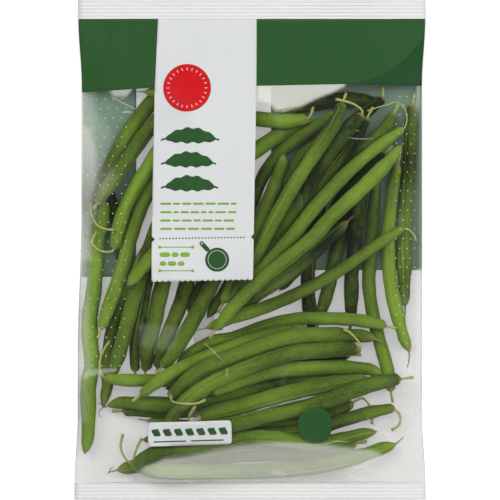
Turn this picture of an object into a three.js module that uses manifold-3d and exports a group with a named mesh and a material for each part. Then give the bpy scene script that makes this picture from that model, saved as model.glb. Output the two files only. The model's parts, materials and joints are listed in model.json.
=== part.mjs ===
/**
 * A bundle of green beans in its clear film bag, lying on its back on a table.
 *
 * Millimetres, +Z up. The bag's long side runs along Y, its printed front looks up and its back
 * rests on Z = 0. Each bean is one grown piece: stalk, cap, pod and tail. The beans are laid one
 * after another, so that each rests on the ones below, and the film is then drawn over the heap.
 */
import * as THREE from "three";
import { mergeVertices } from "three/addons/utils/BufferGeometryUtils.js";
import Module from "manifold-3d";

const wasm = await Module();
wasm.setup();

// Driving dimensions of the bag
const BAG_HALF_WIDTH = 89.8; // folded side to the middle
const SEAL_HALF_WIDTH = 91.6; // the flat seals stand a little wider than the filled bag
const FLARE_RUN = 34; // length over which the sides draw in from the seal
const TOP_END = 130; // cut edge of the upper seal
const SEAL_LINE = 120; // both seals start this far from the middle of the contents
const BOTTOM_END = -128.4; // cut edge of the lower seal
const FILM = 0.6; // thickness of the film solid
const SEAL_HEIGHT = 5; // height of the flat seals above the table
const SEAL_SLIT = 0.3; // height of the inner space where it runs out into a seal
const FOLD_RADIUS = 5.2; // rounding of the two long sides
const END_RUN = 7; // length over which the back film rises to a seal
const LYING_END = 110; // the part of the back that lies on the table ends here
const CORNER_RUN = 34; // rounding of its four corners
const CORNER_LIFT = 1.2; // height of the back film over the table beside them
const CLEARANCE = 0.45; // film to bean
const LEAST_ROOM = 0.4; // front film to back film inside the bag

// Driving dimensions of the beans
const BEAN_GAP = 0.3; // bean to bean
const STALK_RADIUS = 1;
const STALK_END_RADIUS = 1.35;
const CAP_SHARE = 0.52; // radius of the cap, as a share of the pod's
const TAIL_ROOT_RADIUS = 0.85;
const TAIL_END_RADIUS = 0.5;
const STALK_LENGTH = 6; // where no stalk is traced
const TAIL_LENGTH = 5; // where no tail is traced
const RING_STEP = 13; // most distance between two rings of a pod
const THIN_RING_STEP = 6; // and of a stalk or tail
const SIDES = 7;
const DEEP_SIDES = 6; // on beans that lie under others

// Driving dimensions of the air holes in the front film
const HOLE_RADIUS = 0.6;
const HOLE_SIDES = 6;
const HOLE_DEPTH = 3;
const HOLE_COLUMNS = [-82.3, 82.1];
const HOLE_ROWS = [-95, -55, -15, 25, 65];

// The beans from the bottom of the heap to its top: diameter, the pod's route from cap to tail,
// then the stalk's route away from the cap and the tail's away from the pod, where they show.
const BEANS = [
  {
    diameter: 7.5, deep: true,
    pod: [[33, -42], [31.5, -33.5], [30.5, -25], [30.2, -14], [31, -2], [33, 10], [36, 22], [40, 38]],
  },
  {
    diameter: 7.2, deep: true,
    pod: [[36, -35], [39.5, -25], [42, -14.5], [44.3, -5], [47, 6], [50, 18], [54, 32], [58, 46]],
  },
  {
    diameter: 7.4, deep: true,
    pod: [[52.5, -35], [52.9, -24], [53, -12], [54.3, 0], [56, 15], [58, 30], [61, 44], [66, 58]],
  },
  {
    diameter: 6.5, deep: true,
    pod: [
      [-77, 34], [-74.5, 29], [-72.5, 22], [-70.5, 14], [-69.5, 6], [-67, -6], [-62, -22], [-56, -40],
      [-52, -56],
    ],
  },
  {
    diameter: 8, deep: true,
    pod: [[22, 73.5], [34, 76.5], [45, 78], [57, 78.5], [66, 76.5]],
    tail: [[71, 75]],
  },
  {
    diameter: 7, deep: true,
    pod: [[69, 79.5], [63, 74], [56, 68.5], [49, 62], [41, 54], [30, 42], [20, 30], [12, 16]],
    stalk: [[69, 85]],
  },
  {
    diameter: 7, deep: true,
    pod: [[70, 50], [64, 44], [57, 37], [50, 29], [44, 20], [38, 10], [28, -6], [18, -18]],
  },
  {
    diameter: 6, deep: true,
    pod: [[52, -55], [42, -55.6], [32, -56], [20, -58], [8, -61], [-8, -66], [-24, -70], [-40, -72]],
  },
  {
    diameter: 6.5, deep: true,
    pod: [
      [-66, -84], [-56, -83.8], [-46, -84], [-36, -84.5], [-26, -83], [-14, -80], [10, -74], [30, -66],
    ],
  },
  {
    diameter: 6.5, deep: true,
    pod: [
      [-31.5, -32.5], [-29.5, -28], [-27, -22], [-23, -15], [-17, -4], [-11, 8], [-6, 22], [-4, 40],
      [-6, 54],
    ],
  },
  {
    diameter: 7, deep: true,
    pod: [[36, 58], [29, 51], [23, 43], [18, 35], [13, 26], [8, 16], [3, 6], [-8, -14], [-20, -32]],
  },
  {
    diameter: 6.5, deep: true,
    pod: [
      [-60, -63], [-60, -54], [-59, -44], [-57, -34], [-55, -24], [-53.5, -16], [-50, 0], [-41, 28],
      [-36, 42],
    ],
  },
  {
    diameter: 8, deep: true,
    pod: [[27, 65], [20, 62], [12, 58], [4, 52.5], [-5, 45], [-14, 36], [-22, 26], [-34, 4], [-40, -8]],
  },
  {
    diameter: 7.6, deep: true,
    pod: [
      [85, 76], [84.3, 70], [83.7, 60], [83.3, 48], [82.3, 36], [81.3, 24], [80.7, 12], [80.5, 0],
      [80.6, -12], [80.5, -24],
    ],
    tail: [[81, -30], [81, -35]],
  },
  {
    diameter: 7.6,
    pod: [
      [73.5, -73.5], [71, -59], [68, -49], [65.3, -39], [63.5, -30], [62, -20], [62.3, -10], [63, 0],
      [64, 12], [65, 25], [66, 34],
    ],
  },
  {
    diameter: 7.2, deep: true,
    pod: [
      [75, 71], [72, 65], [67, 59.5], [60, 54], [53, 47.5], [46, 40.5], [40, 33], [30, 22], [18, 8],
    ],
  },
  {
    diameter: 6.6, deep: true,
    pod: [[61, 69], [56, 60], [50, 51.5], [43.5, 43], [37, 35], [31, 27], [25, 18], [15, 2], [8, -10]],
  },
  {
    diameter: 6.5, deep: true,
    pod: [
      [-36, 30], [-47, 10], [-55, -2], [-62, -15], [-66, -24], [-69, -33], [-72, -42], [-73.8, -52],
      [-74.5, -60], [-74.3, -70], [-76, -78],
    ],
  },
  {
    diameter: 6.8, deep: true,
    pod: [
      [53.5, -80], [47, -83.3], [38, -86.5], [25, -89.3], [10, -91.3], [-5, -92.7], [-20, -93],
      [-35, -91.5], [-48, -89.6],
    ],
    stalk: [[56.5, -77.8], [59.5, -77.6], [62, -80.5], [63.5, -85], [63.8, -90.5]],
    tail: [[-59, -88]],
  },
  {
    diameter: 8,
    pod: [
      [45, -68], [20, -68.6], [10, -70], [0, -72], [-10, -74], [-20, -76.8], [-30, -79], [-40, -80.5],
      [-50, -80.3], [-60, -79.7], [-68, -79.7],
    ],
    tail: [[-75.5, -81.5]],
  },
  {
    diameter: 8.2,
    pod: [
      [-54.5, -62.5], [-53.5, -50], [-50.5, -40], [-48.5, -30], [-46, -20], [-43, -8], [-39, 6],
      [-28, 34], [-24, 46],
    ],
  },
  {
    diameter: 7.6,
    pod: [
      [-48, -61], [-45, -50], [-41, -40], [-37, -30], [-34.5, -22], [-32, -14], [-28, 0], [-17, 28],
      [-12, 42],
    ],
  },
  {
    diameter: 8.3,
    pod: [
      [-77.5, 25], [-78.3, 16], [-80, 8], [-81.3, 0], [-81.5, -10], [-82, -20], [-83.5, -30],
      [-84, -40], [-83.2, -50], [-82.5, -60], [-84, -68], [-84.5, -77], [-84.3, -88], [-84.8, -98],
    ],
    tail: [[-86.5, -106]],
  },
  {
    diameter: 7.8,
    pod: [
      [-84.5, 22.5], [-81.5, 30.5], [-77.5, 38], [-74.5, 43], [-71, 49.5], [-68, 55.5], [-64, 62],
      [-60, 67], [-56, 72], [-50, 79], [-38, 92], [-30, 100],
    ],
    stalk: [[-84, 18], [-81, 13], [-76, 10.8], [-71.5, 10.5]],
  },
  {
    diameter: 8,
    pod: [
      [-80.8, 24.6], [-78.5, 28.5], [-75, 33], [-71, 38.5], [-67, 44], [-63, 49.5], [-59, 55],
      [-55, 60.5], [-50, 66], [-44, 72], [-32, 84], [-22, 94],
    ],
    stalk: [[-83, 21.2]],
  },
  {
    diameter: 7.5,
    pod: [
      [-72, -64.5], [-70, -59], [-67, -50], [-64.5, -40], [-62.5, -32], [-60.5, -24], [-57, -13],
      [-53, 0], [-43, 25], [-38, 38],
    ],
  },
  {
    diameter: 6.4,
    pod: [
      [75, -83], [68, -83.5], [60, -85.3], [50, -88], [40, -91], [28, -93.5], [12, -95], [-5, -95.5],
      [-20, -96], [-35, -97], [-52, -98],
    ],
    stalk: [[76.5, -84], [78.3, -86.5], [78.5, -89], [77, -92], [74, -93.5]],
  },
  {
    diameter: 8.6,
    pod: [
      [55, -100], [35, -103], [20, -104.5], [5, -104.7], [-10, -105.5], [-25, -107], [-40, -109],
      [-52, -110.5], [-64, -112],
    ],
    tail: [[-74.5, -114.5]],
  },
  {
    diameter: 6.6,
    pod: [
      [-75.5, -66.3], [-68, -67.5], [-58, -67.8], [-48, -68], [-38, -68], [-28, -66], [-18, -62],
      [2, -53], [18, -47],
    ],
    stalk: [[-77.5, -64.5], [-78.3, -60], [-77.5, -55], [-75, -50], [-73, -47.5]],
  },
  {
    diameter: 7.6,
    pod: [
      [77, 44], [75, 35], [73.3, 22], [72.3, 10], [72.3, 0], [72.7, -10], [73.8, -20], [76, -30],
      [78.5, -40], [81, -48],
    ],
    tail: [[83.3, -54.5], [82, -62]],
  },
  {
    diameter: 7.8,
    pod: [
      [58, 70.5], [52, 63.5], [46, 57], [40, 49], [34.5, 40], [28, 30], [22, 20], [16, 10], [8, -2],
      [0, -14], [-8, -25],
    ],
    stalk: [[58.5, 72.5], [56, 74.5], [52, 76.5], [48, 77.5], [44.5, 78.3]],
  },
  {
    diameter: 6.8,
    pod: [
      [44, 71], [38, 67], [31, 62], [24, 57], [17, 51.5], [11, 45], [6.5, 38], [3.5, 31], [0, 22],
      [-8, 2], [-14, -12],
    ],
  },
  {
    diameter: 7.5,
    pod: [[-14, -27], [-4, -8], [0, 2], [3.5, 11], [7, 20], [11.5, 30], [15, 40], [17.2, 46]],
    tail: [[17.8, 51]],
  },
  {
    diameter: 8.5,
    pod: [
      [-77.5, -40.5], [-75, -33], [-73, -27], [-70.5, -20], [-68.5, -14], [-66, -6], [-64.5, 1],
      [-62, 9], [-59, 18], [-56, 25], [-52, 32], [-41, 46], [-30, 58],
    ],
  },
  {
    diameter: 7.8,
    pod: [
      [-45.5, -60.5], [-42, -56.5], [-37.5, -50], [-31.5, -40], [-26, -30], [-21.5, -21], [-18, -14],
      [-12, -2], [-6, 12], [-4, 26],
    ],
  },
  {
    diameter: 8,
    pod: [
      [-62, -109.5], [-55, -111.6], [-48, -112.9], [-38, -113.8], [-20, -113.8], [0, -113.6],
      [20, -112.6], [40, -110.2], [50, -107.8], [60, -105.3], [70, -102],
    ],
    stalk: [[-64.2, -108.4], [-66.6, -104.5], [-67.5, -100], [-66.3, -95.7]],
    tail: [[77.5, -99.5], [80.5, -96.5]],
  },
  {
    diameter: 7.5,
    pod: [
      [-60, -108.5], [-50, -104.6], [-42, -102.7], [-32, -101.7], [-22, -100.7], [-8, -97.5],
      [5, -96.5], [18, -97.8], [30, -99.3], [40, -99.3], [50, -97], [60, -95],
    ],
    stalk: [[-60, -107.5], [-59.5, -104], [-58, -99.5], [-56.5, -97.5]],
    tail: [[67, -94]],
  },
  {
    diameter: 7.8,
    pod: [
      [30, 68.5], [25, 67.6], [18, 67], [10, 67.7], [3, 68.5], [-10, 71], [-22, 75], [-36, 79],
      [-50, 82],
    ],
    stalk: [[31.5, 70], [33, 74.5]],
    tail: [[-60, 82.5]],
  },
  {
    diameter: 6.8,
    pod: [
      [70.5, -39.5], [58, -36.8], [50, -36], [40, -35.8], [30, -35.5], [20, -36.5], [10, -39],
      [0, -42.5], [-10, -46.3], [-20, -48], [-27, -51], [-33, -55],
    ],
    tail: [[-39, -60]],
  },
  {
    diameter: 8,
    pod: [
      [-20, -74], [-10, -69.5], [0, -66], [10, -63.5], [20, -62.3], [30, -61.5], [40, -61.2],
      [50, -61.2], [58, -61.7], [64, -62.7],
    ],
    tail: [[70.5, -66.5]],
  },
  {
    diameter: 6.8,
    pod: [
      [-56.5, -75], [-50, -70], [-44, -65.5], [-36, -61], [-28, -57.5], [-20, -54.3], [-10, -50.5],
      [2, -46], [14, -43], [26, -41],
    ],
  },
  {
    diameter: 8,
    pod: [[-15, -35], [-7, -30], [2, -24], [12, -17.5], [22, -10.5], [31, -3.5], [39, 4.5], [47, 11.5]],
    tail: [[54.5, 18.5]],
  },
  {
    diameter: 7.6,
    pod: [
      [80, 11], [72, 6.5], [65, 2], [58, -3], [50, -8.5], [42, -13.5], [34, -18], [26, -22],
      [18, -25.7], [10, -29], [0, -32.3], [-10, -35.7], [-18, -39],
    ],
    stalk: [[82, 11], [85, 8.5], [86.8, 4.5]],
    tail: [[-28, -42]],
  },
  {
    diameter: 8,
    pod: [
      [48, 76], [45.5, 69], [40.5, 60], [33.5, 50], [27, 40], [20.5, 30], [15, 20], [9.5, 10],
      [5.5, 2], [-2, -13], [-8, -22],
    ],
  },
  {
    diameter: 8,
    pod: [
      [-71.5, 1], [-70, 9], [-68, 16], [-65.5, 23], [-62, 30], [-58, 36], [-54.5, 41], [-51, 47],
      [-46, 54], [-35, 68], [-24, 80],
    ],
    stalk: [[-72, 0], [-76, -1], [-80, 0], [-83.5, 3], [-83.5, 6], [-82, 8.5]],
  },
  {
    diameter: 8,
    pod: [
      [-4, 50], [-8, 40], [-14, 30], [-22, 20], [-36, 10], [-44, 3], [-51, -4], [-55, -8],
      [-59, -12.5], [-62, -16.5],
    ],
    tail: [[-64.5, -19.5]],
  },
  {
    diameter: 8.2,
    pod: [
      [-41, -76.5], [-38, -73], [-33, -68], [-27, -63.5], [-20, -59.7], [-10, -56], [0, -52],
      [10, -48.5], [20, -45.7], [30, -44.5], [40, -44.3], [50, -44.5], [60, -45],
    ],
    stalk: [[-40, -78.5], [-35, -79.4], [-27, -79.2], [-23, -77.5]],
    tail: [[64, -45.7], [71, -50]],
  },
  {
    diameter: 8.6,
    pod: [
      [-27, -87.5], [-24, -86], [-18, -84.3], [-10, -82.5], [0, -79.8], [10, -77], [20, -74.3],
      [30, -72], [40, -70], [50, -68.5], [58, -67.5],
    ],
    stalk: [[-29, -88.8], [-31.5, -88.5], [-31.3, -85.5], [-29.5, -82.5], [-28.4, -81]],
  },
  {
    diameter: 7.8,
    pod: [
      [78, -67.3], [72, -68], [64, -69.5], [56, -72.3], [48, -75.3], [40, -78.3], [30, -81.2],
      [20, -83.7], [10, -86], [0, -88.3], [-10, -90.5], [-34, -93.5],
    ],
    stalk: [[81, -66.9], [85, -66.5]],
  },
  {
    diameter: 8,
    pod: [
      [57, -51], [50, -51.3], [40, -52], [30, -52.7], [20, -54], [10, -57], [0, -60.5], [-10, -64.5],
      [-20, -69], [-28, -73.5], [-34, -79], [-42, -89],
    ],
    stalk: [[57.5, -49.5], [55, -46], [52, -43], [48.5, -41]],
  },
  {
    diameter: 8.8,
    pod: [
      [79.5, 63], [73, 58.5], [66, 53.5], [60, 48.5], [53, 42.5], [47, 36.5], [40, 29.5], [32, 20],
      [24, 10], [19.5, 4], [14, -2], [2, -13],
    ],
    stalk: [[81, 64.5], [81.6, 69], [80.4, 73.5], [78, 76.8], [73, 75.9], [66, 74], [61, 72.3]],
  },
  {
    diameter: 8.8,
    pod: [
      [-17.5, -41], [-10, -31], [-5, -26], [0, -20.5], [6, -15], [12.5, -10], [18.5, -5], [25, 0],
      [31, 5], [36, 10], [41, 16], [47, 22], [54, 28], [60, 34], [66, 40], [72, 46], [77, 52],
    ],
    tail: [[79.5, 55.5]],
  },
];

// How the heap and the film are worked out
const FINE_STEP = 2; // spacing of the points at which a bean is tested against the others
const BEAN_SMOOTHING = 36; // passes that spread a bean's bend; more of them make it stiffer
const END_DROOP = 0.75; // how much of a bean's slope goes on to its free end
const LIFT_PASSES = 60;
const HELD_SHARE = 0.7; // how near to its cap a stalk still gives way
const FILM_PASSES = 220;
const CELL_SAMPLES = 6; // tests of the film along each side of a facet
const BIN = 10; // size of a bin in the search for neighbours
const COLUMN_STEP = 9; // spacing of the film's grid across the bag
const ROW_STEP = 9.2; // and along it

const clamp = (value, low, high) => Math.min(high, Math.max(low, value));
const mix = (a, b, t) => a + (b - a) * t;
const smooth = (t) => t * t * (3 - 2 * t);

/** Half the bag's width at a distance along it. */
function halfWidth(y) {
  const t = clamp((Math.abs(y) - (SEAL_LINE - FLARE_RUN)) / FLARE_RUN, 0, 1);
  return mix(BAG_HALF_WIDTH, SEAL_HALF_WIDTH, smooth(t));
}

/** 0 on the flat back, 1 where the back film reaches a seal. */
function endRise(y) {
  return clamp((Math.abs(y) - (SEAL_LINE - END_RUN)) / END_RUN, 0, 1) ** 2;
}

/** 0 up to a corner of the part that lies on the table, 1 at that part's end. */
function cornerTurn(y) {
  return clamp((Math.abs(y) - (LYING_END - CORNER_RUN)) / CORNER_RUN, 0, 1);
}

/** Half the width of the part that lies on the table. */
function lyingHalfWidth(y) {
  const turn = cornerTurn(y);
  return halfWidth(y) - FOLD_RADIUS - Math.max(1.5, CORNER_RUN * (1 - Math.sqrt(1 - turn * turn)));
}

/** Inner height of the back film, rounded up to the two folded sides and to the seals. */
function backHeight(x, y) {
  const fold = halfWidth(y) - FOLD_RADIUS;
  const lying = lyingHalfWidth(y);
  const lift = CORNER_LIFT * cornerTurn(y) * clamp((Math.abs(x) - lying) / (fold - lying), 0, 1);
  const into = clamp(Math.abs(x) - fold, 0, FOLD_RADIUS) / FOLD_RADIUS;
  const side = FILM + lift + (FOLD_RADIUS - FILM - lift) * (1 - Math.sqrt(1 - into * into));
  return mix(side, SEAL_HEIGHT - SEAL_SLIT / 2, endRise(y));
}

/** Height of the fold line that runs down each long side. */
function foldHeight(y) {
  return mix(FOLD_RADIUS, SEAL_HEIGHT, endRise(y));
}

/** Points in plan bins, for finding those near a place. */
class Neighbours {
  constructor() {
    this.bins = new Map();
  }

  add(ball) {
    const key = `${Math.floor(ball.x / BIN)},${Math.floor(ball.y / BIN)}`;
    if (!this.bins.has(key)) this.bins.set(key, []);
    this.bins.get(key).push(ball);
  }

  /** The greatest height at which a ball of this radius touches one held here and not passed over. */
  contactHeight(x, y, radius, passedOver = () => false) {
    const column = Math.floor(x / BIN);
    const row = Math.floor(y / BIN);
    let height = -Infinity;
    for (let i = column - 1; i <= column + 1; i++)
      for (let j = row - 1; j <= row + 1; j++)
        for (const ball of this.bins.get(`${i},${j}`) ?? []) {
          const reach = radius + ball.radius;
          const rest = reach * reach - (ball.x - x) ** 2 - (ball.y - y) ** 2;
          if (rest > 0 && !passedOver(ball)) height = Math.max(height, ball.z + Math.sqrt(rest));
        }
    return height;
  }
}

/** The height at which a ball of this radius rests on the back film. */
function restHeight(x, y, radius) {
  let height = backHeight(x, y) + radius;
  for (let turn = 0; turn < 8; turn++)
    for (const share of [0.35, 0.7, 0.9, 1]) {
      const away = share * radius;
      const floor = backHeight(
        x + away * Math.cos((turn * Math.PI) / 4),
        y + away * Math.sin((turn * Math.PI) / 4),
      );
      height = Math.max(height, floor + Math.sqrt(radius * radius - away * away));
    }
  return height;
}

/** A curve in plan through hand-placed points, with its length. */
function planCurve(points) {
  return new THREE.CatmullRomCurve3(points.map(([x, y]) => new THREE.Vector3(x, y, 0)), false, "centripetal");
}

/** A route carried on straight from its last point by a length. */
function carriedOn(points, length) {
  const [ax, ay] = points[points.length - 2];
  const [bx, by] = points[points.length - 1];
  const run = Math.hypot(bx - ax, by - ay);
  return [[bx + ((bx - ax) * length) / run, by + ((by - ay) * length) / run]];
}

/** Even steps from one distance to another, no longer than a step, without the first. */
function steps(from, to, step) {
  const count = Math.max(1, Math.ceil((to - from) / step));
  return Array.from({ length: count }, (_, k) => from + ((k + 1) * (to - from)) / count);
}

/** The rings of one bean in plan: place and radius, from the stalk's cut end to the tail's tip. */
function beanRings({ diameter, pod, stalk, tail }) {
  const radius = diameter / 2;
  const stalkRoute = stalk ?? carriedOn([...pod].reverse(), STALK_LENGTH);
  const tailRoute = tail ?? carriedOn(pod, TAIL_LENGTH);
  const curve = planCurve([...stalkRoute].reverse().concat(pod, tailRoute));
  const whole = curve.getLength();
  const stalkLength = planCurve([pod[0], ...stalkRoute]).getLength();
  const tailLength = planCurve([pod[pod.length - 1], ...tailRoute]).getLength();
  const capAt = stalkLength;
  const podEnd = whole - tailLength;
  const marks = [[0, STALK_END_RADIUS]];
  for (const at of steps(0, capAt - 1, THIN_RING_STEP)) marks.push([at, STALK_RADIUS]);
  marks.push([capAt + 1, CAP_SHARE * radius], [capAt + 5, 0.84 * radius], [capAt + 11, radius]);
  for (const at of steps(capAt + 11, podEnd - 15, RING_STEP)) marks.push([at, radius]);
  marks.push([podEnd - 7, 0.82 * radius], [podEnd - 1.5, 0.45 * radius]);
  for (const at of steps(podEnd + 1.5, whole - 1, THIN_RING_STEP)) {
    const t = (at - podEnd) / (whole - podEnd);
    marks.push([at, mix(TAIL_ROOT_RADIUS, TAIL_END_RADIUS, t)]);
  }
  return marks.map(([at, ringRadius]) => {
    const { x, y } = curve.getPointAt(clamp(at / whole, 0, 1));
    const reach = ringRadius + CLEARANCE + LEAST_ROOM;
    const sideways = halfWidth(y) - reach;
    const along = SEAL_LINE - 1.4 - reach;
    return { x: clamp(x, -sideways, sideways), y: clamp(y, -along, along), radius: ringRadius };
  });
}

/** Closely spaced points on the line through a bean's rings, each between two rings. */
function finePoints(rings) {
  const points = [];
  for (let k = 0; k + 1 < rings.length; k++) {
    const a = rings[k];
    const b = rings[k + 1];
    const count = Math.max(1, Math.round(Math.hypot(b.x - a.x, b.y - a.y) / FINE_STEP));
    for (let i = 0; i < count + (k + 2 === rings.length ? 1 : 0); i++) {
      const t = i / count;
      points.push({
        ring: k,
        t,
        x: mix(a.x, b.x, t),
        y: mix(a.y, b.y, t),
        radius: mix(a.radius, b.radius, t),
      });
    }
  }
  return points;
}

/**
 * Gives rings their heights: a smoothly bent line that stays above the least height of each point.
 * Where the far end is held, the last ring keeps the height that it has.
 */
function settle(rings, points, least, held) {
  const height = [...least];
  const last = height.length - 1;
  if (held) height[last] = rings[rings.length - 1].z;
  for (let pass = 0; pass < BEAN_SMOOTHING; pass++) {
    for (let k = 1; k < last; k++) height[k] = Math.max(least[k], (height[k - 1] + height[k + 1]) / 2);
    const first = height[1] + END_DROOP * (height[1] - height[2]);
    height[0] = Math.max(least[0], first);
    if (held) continue;
    const final = height[last - 1] + END_DROOP * (height[last - 1] - height[last - 2]);
    height[last] = Math.max(least[last], final);
  }
  rings.forEach((ring, k) => {
    if (held && k === rings.length - 1) return;
    const at = points.findIndex((p) => p.ring === k && p.t === 0);
    ring.z = height[at < 0 ? last : at];
  });
  for (let pass = 0; pass < LIFT_PASSES; pass++)
    points.forEach((p, k) => {
      const a = rings[p.ring];
      const b = rings[p.ring + 1];
      const short = least[k] - mix(a.z, b.z, p.t);
      if (short <= 0) return;
      if (held && p.ring + 2 === rings.length) {
        if (p.t < HELD_SHARE) a.z += short / (1 - p.t);
        return;
      }
      const share = (1 - p.t) ** 2 + p.t ** 2;
      a.z += (short * (1 - p.t)) / share;
      b.z += (short * p.t) / share;
    });
}

/** The least height of each point over the back film and over what lies on the heap. */
function leastHeights(points, heap, passedOver) {
  return points.map(({ x, y, radius }) =>
    Math.max(
      restHeight(x, y, radius + CLEARANCE),
      heap.contactHeight(x, y, radius + BEAN_GAP, passedOver),
    ),
  );
}

/** Adds the points of a laid line to the heap, from a ring on. */
function addToHeap(rings, points, heap, from) {
  for (const p of points) {
    if (p.ring < from) continue;
    const z = mix(rings[p.ring].z, rings[p.ring + 1].z, p.t);
    heap.add({ x: p.x, y: p.y, z, radius: p.radius, rings, ring: p.ring });
  }
}

/** The number of a bean's first ring that isn't of its stalk. */
function capRing(rings) {
  return rings.findIndex((ring) => ring.radius > STALK_END_RADIUS);
}

/** Lays a bean on the heap so that nothing below is cut. Its rings before one are laid again later. */
function layBean(rings, heap, from) {
  const points = finePoints(rings);
  settle(rings, points, leastHeights(points, heap), false);
  addToHeap(rings, points, heap, from);
}

/** Lays a stalk, which bends out of the way, over all beans beside it, from its cap outwards. */
function layStalk(rings, heap) {
  const cap = capRing(rings);
  const stalk = rings.slice(0, cap + 1);
  const points = finePoints(stalk);
  const ownCap = (ball) => ball.rings === rings && ball.ring <= cap + 1;
  settle(stalk, points, leastHeights(points, heap, ownCap), true);
  addToHeap(rings, points, heap, 0);
}

/** A closed geometry from rows of points of equal number, each row a closed ring. */
function loft(rows, firstEnd, lastEnd) {
  const count = rows[0].length;
  const points = rows.flat();
  const faces = [];
  for (let j = 0; j + 1 < rows.length; j++)
    for (let i = 0; i < count; i++) {
      const a = j * count + i;
      const b = j * count + ((i + 1) % count);
      faces.push([a, b, b + count], [a, b + count, a + count]);
    }
  const close = (start, apex, turned) => {
    const tip = apex ? points.push(apex) - 1 : start;
    for (let i = apex ? 0 : 1; i < (apex ? count : count - 1); i++) {
      const a = start + i;
      const b = start + ((i + 1) % count);
      faces.push(turned ? [tip, a, b] : [tip, b, a]);
    }
  };
  close(0, firstEnd, false);
  close((rows.length - 1) * count, lastEnd, true);
  const geometry = new THREE.BufferGeometry();
  const places = points.flatMap((p) => [p.x, p.y, p.z]);
  geometry.setAttribute("position", new THREE.Float32BufferAttribute(places, 3));
  geometry.setIndex(faces.flat());
  return geometry;
}

/** The solid of one bean: rings square to its line, closed to a point at both ends. */
function beanGeometry(rings, sides) {
  const centres = rings.map((r) => new THREE.Vector3(r.x, r.y, r.z));
  const along = centres.map((c, k) => {
    const before = centres[Math.max(0, k - 1)];
    const after = centres[Math.min(centres.length - 1, k + 1)];
    return after.clone().sub(before).normalize();
  });
  const up = new THREE.Vector3(0, 0, 1);
  const rows = rings.map((ring, k) => {
    const across = new THREE.Vector3().crossVectors(along[k], up).normalize();
    const over = new THREE.Vector3().crossVectors(across, along[k]);
    return Array.from({ length: sides }, (_, i) => {
      const turn = (2 * Math.PI * i) / sides;
      return centres[k]
        .clone()
        .addScaledVector(across, ring.radius * Math.cos(turn))
        .addScaledVector(over, ring.radius * Math.sin(turn));
    });
  });
  const last = rings.length - 1;
  const stalkTip = centres[0].clone().addScaledVector(along[0], -0.3 * rings[0].radius);
  const tailTip = centres[last].clone().addScaledVector(along[last], 2 * rings[last].radius);
  return loft(rows.map((row) => row.reverse()), stalkTip, tailTip);
}

/** Distances from an edge: close together near it, then even up to the middle. */
function spread(half, nearEdge, step) {
  const inner = half - nearEdge[nearEdge.length - 1];
  const count = Math.ceil((2 * inner) / step);
  const middle = Array.from({ length: count - 1 }, (_, k) => -inner + ((k + 1) * 2 * inner) / count);
  const left = nearEdge.map((d) => d - half);
  return [...left, ...middle, ...left.map((v) => -v).reverse()];
}

/** The rows of the film's grid, and the columns of its front as shares of the half width. */
const ROWS = spread(SEAL_LINE, [0, 1.6, 4.5, 10], ROW_STEP);
const FRONT = spread(BAG_HALF_WIDTH, [0, 1.1, 3.6, 9], COLUMN_STEP).map((x) => x / BAG_HALF_WIDTH);

/** The columns of the back at a row: near each fold, at the edge of the part that lies flat, and between. */
function backColumns(y) {
  const wide = halfWidth(y);
  const half = [28, lyingHalfWidth(y), ...[FOLD_RADIUS, 2.5, 0.7].map((d) => wide - d)];
  return [...half.map((x) => -x).reverse(), ...half];
}

/** Draws the front film over the heap: its inner height at each row and column of the grid. */
function drapeFilm(heap) {
  const place = (j, i) => [FRONT[i] * halfWidth(ROWS[j]), ROWS[j]];
  const lastRow = ROWS.length - 1;
  const lastColumn = FRONT.length - 1;
  const onEdge = (j, i) => j === 0 || j === lastRow || i === 0 || i === lastColumn;
  const height = ROWS.map((y, j) =>
    FRONT.map((_, i) => {
      if (j === 0 || j === lastRow) return SEAL_HEIGHT + (i === 0 || i === lastColumn ? 0 : SEAL_SLIT / 2);
      return foldHeight(y);
    }),
  );
  const tests = [];
  for (let j = 0; j < lastRow; j++)
    for (let i = 0; i < lastColumn; i++)
      for (const corners of [[[j, i], [j, i + 1], [j + 1, i + 1]], [[j, i], [j + 1, i + 1], [j + 1, i]]])
        for (let a = 0; a <= CELL_SAMPLES; a++)
          for (let b = 0; a + b <= CELL_SAMPLES; b++) {
            const shares = [a / CELL_SAMPLES, b / CELL_SAMPLES, (CELL_SAMPLES - a - b) / CELL_SAMPLES];
            const at = [0, 1].map((axis) =>
              corners.reduce((sum, [r, c], k) => sum + shares[k] * place(r, c)[axis], 0),
            );
            const least = Math.max(backHeight(...at) + LEAST_ROOM, heap.contactHeight(...at, CLEARANCE));
            const free = corners.map(([r, c], k) => (onEdge(r, c) ? 0 : shares[k]));
            const weight = free.reduce((sum, share) => sum + share * share, 0);
            if (weight > 0) tests.push({ corners, shares, free, weight, least });
          }
  const lift = () => {
    for (const { corners, shares, free, weight, least } of tests) {
      const now = corners.reduce((sum, [r, c], k) => sum + shares[k] * height[r][c], 0);
      if (now >= least) continue;
      corners.forEach(([r, c], k) => {
        height[r][c] += ((least - now) * free[k]) / weight;
      });
    }
  };
  for (let pass = 0; pass < FILM_PASSES; pass++) {
    for (let j = 1; j < lastRow; j++)
      for (let i = 1; i < lastColumn; i++) {
        const [x, y] = place(j, i);
        const sides = [[j, i - 1], [j, i + 1], [j - 1, i], [j + 1, i]];
        let sum = 0;
        let total = 0;
        for (const [r, c] of sides) {
          const [nx, ny] = place(r, c);
          const pull = 1 / Math.hypot(nx - x, ny - y);
          sum += pull * height[r][c];
          total += pull;
        }
        height[j][i] = sum / total;
      }
    lift();
  }
  for (let pass = 0; pass < LIFT_PASSES; pass++) lift();
  return height;
}

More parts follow.
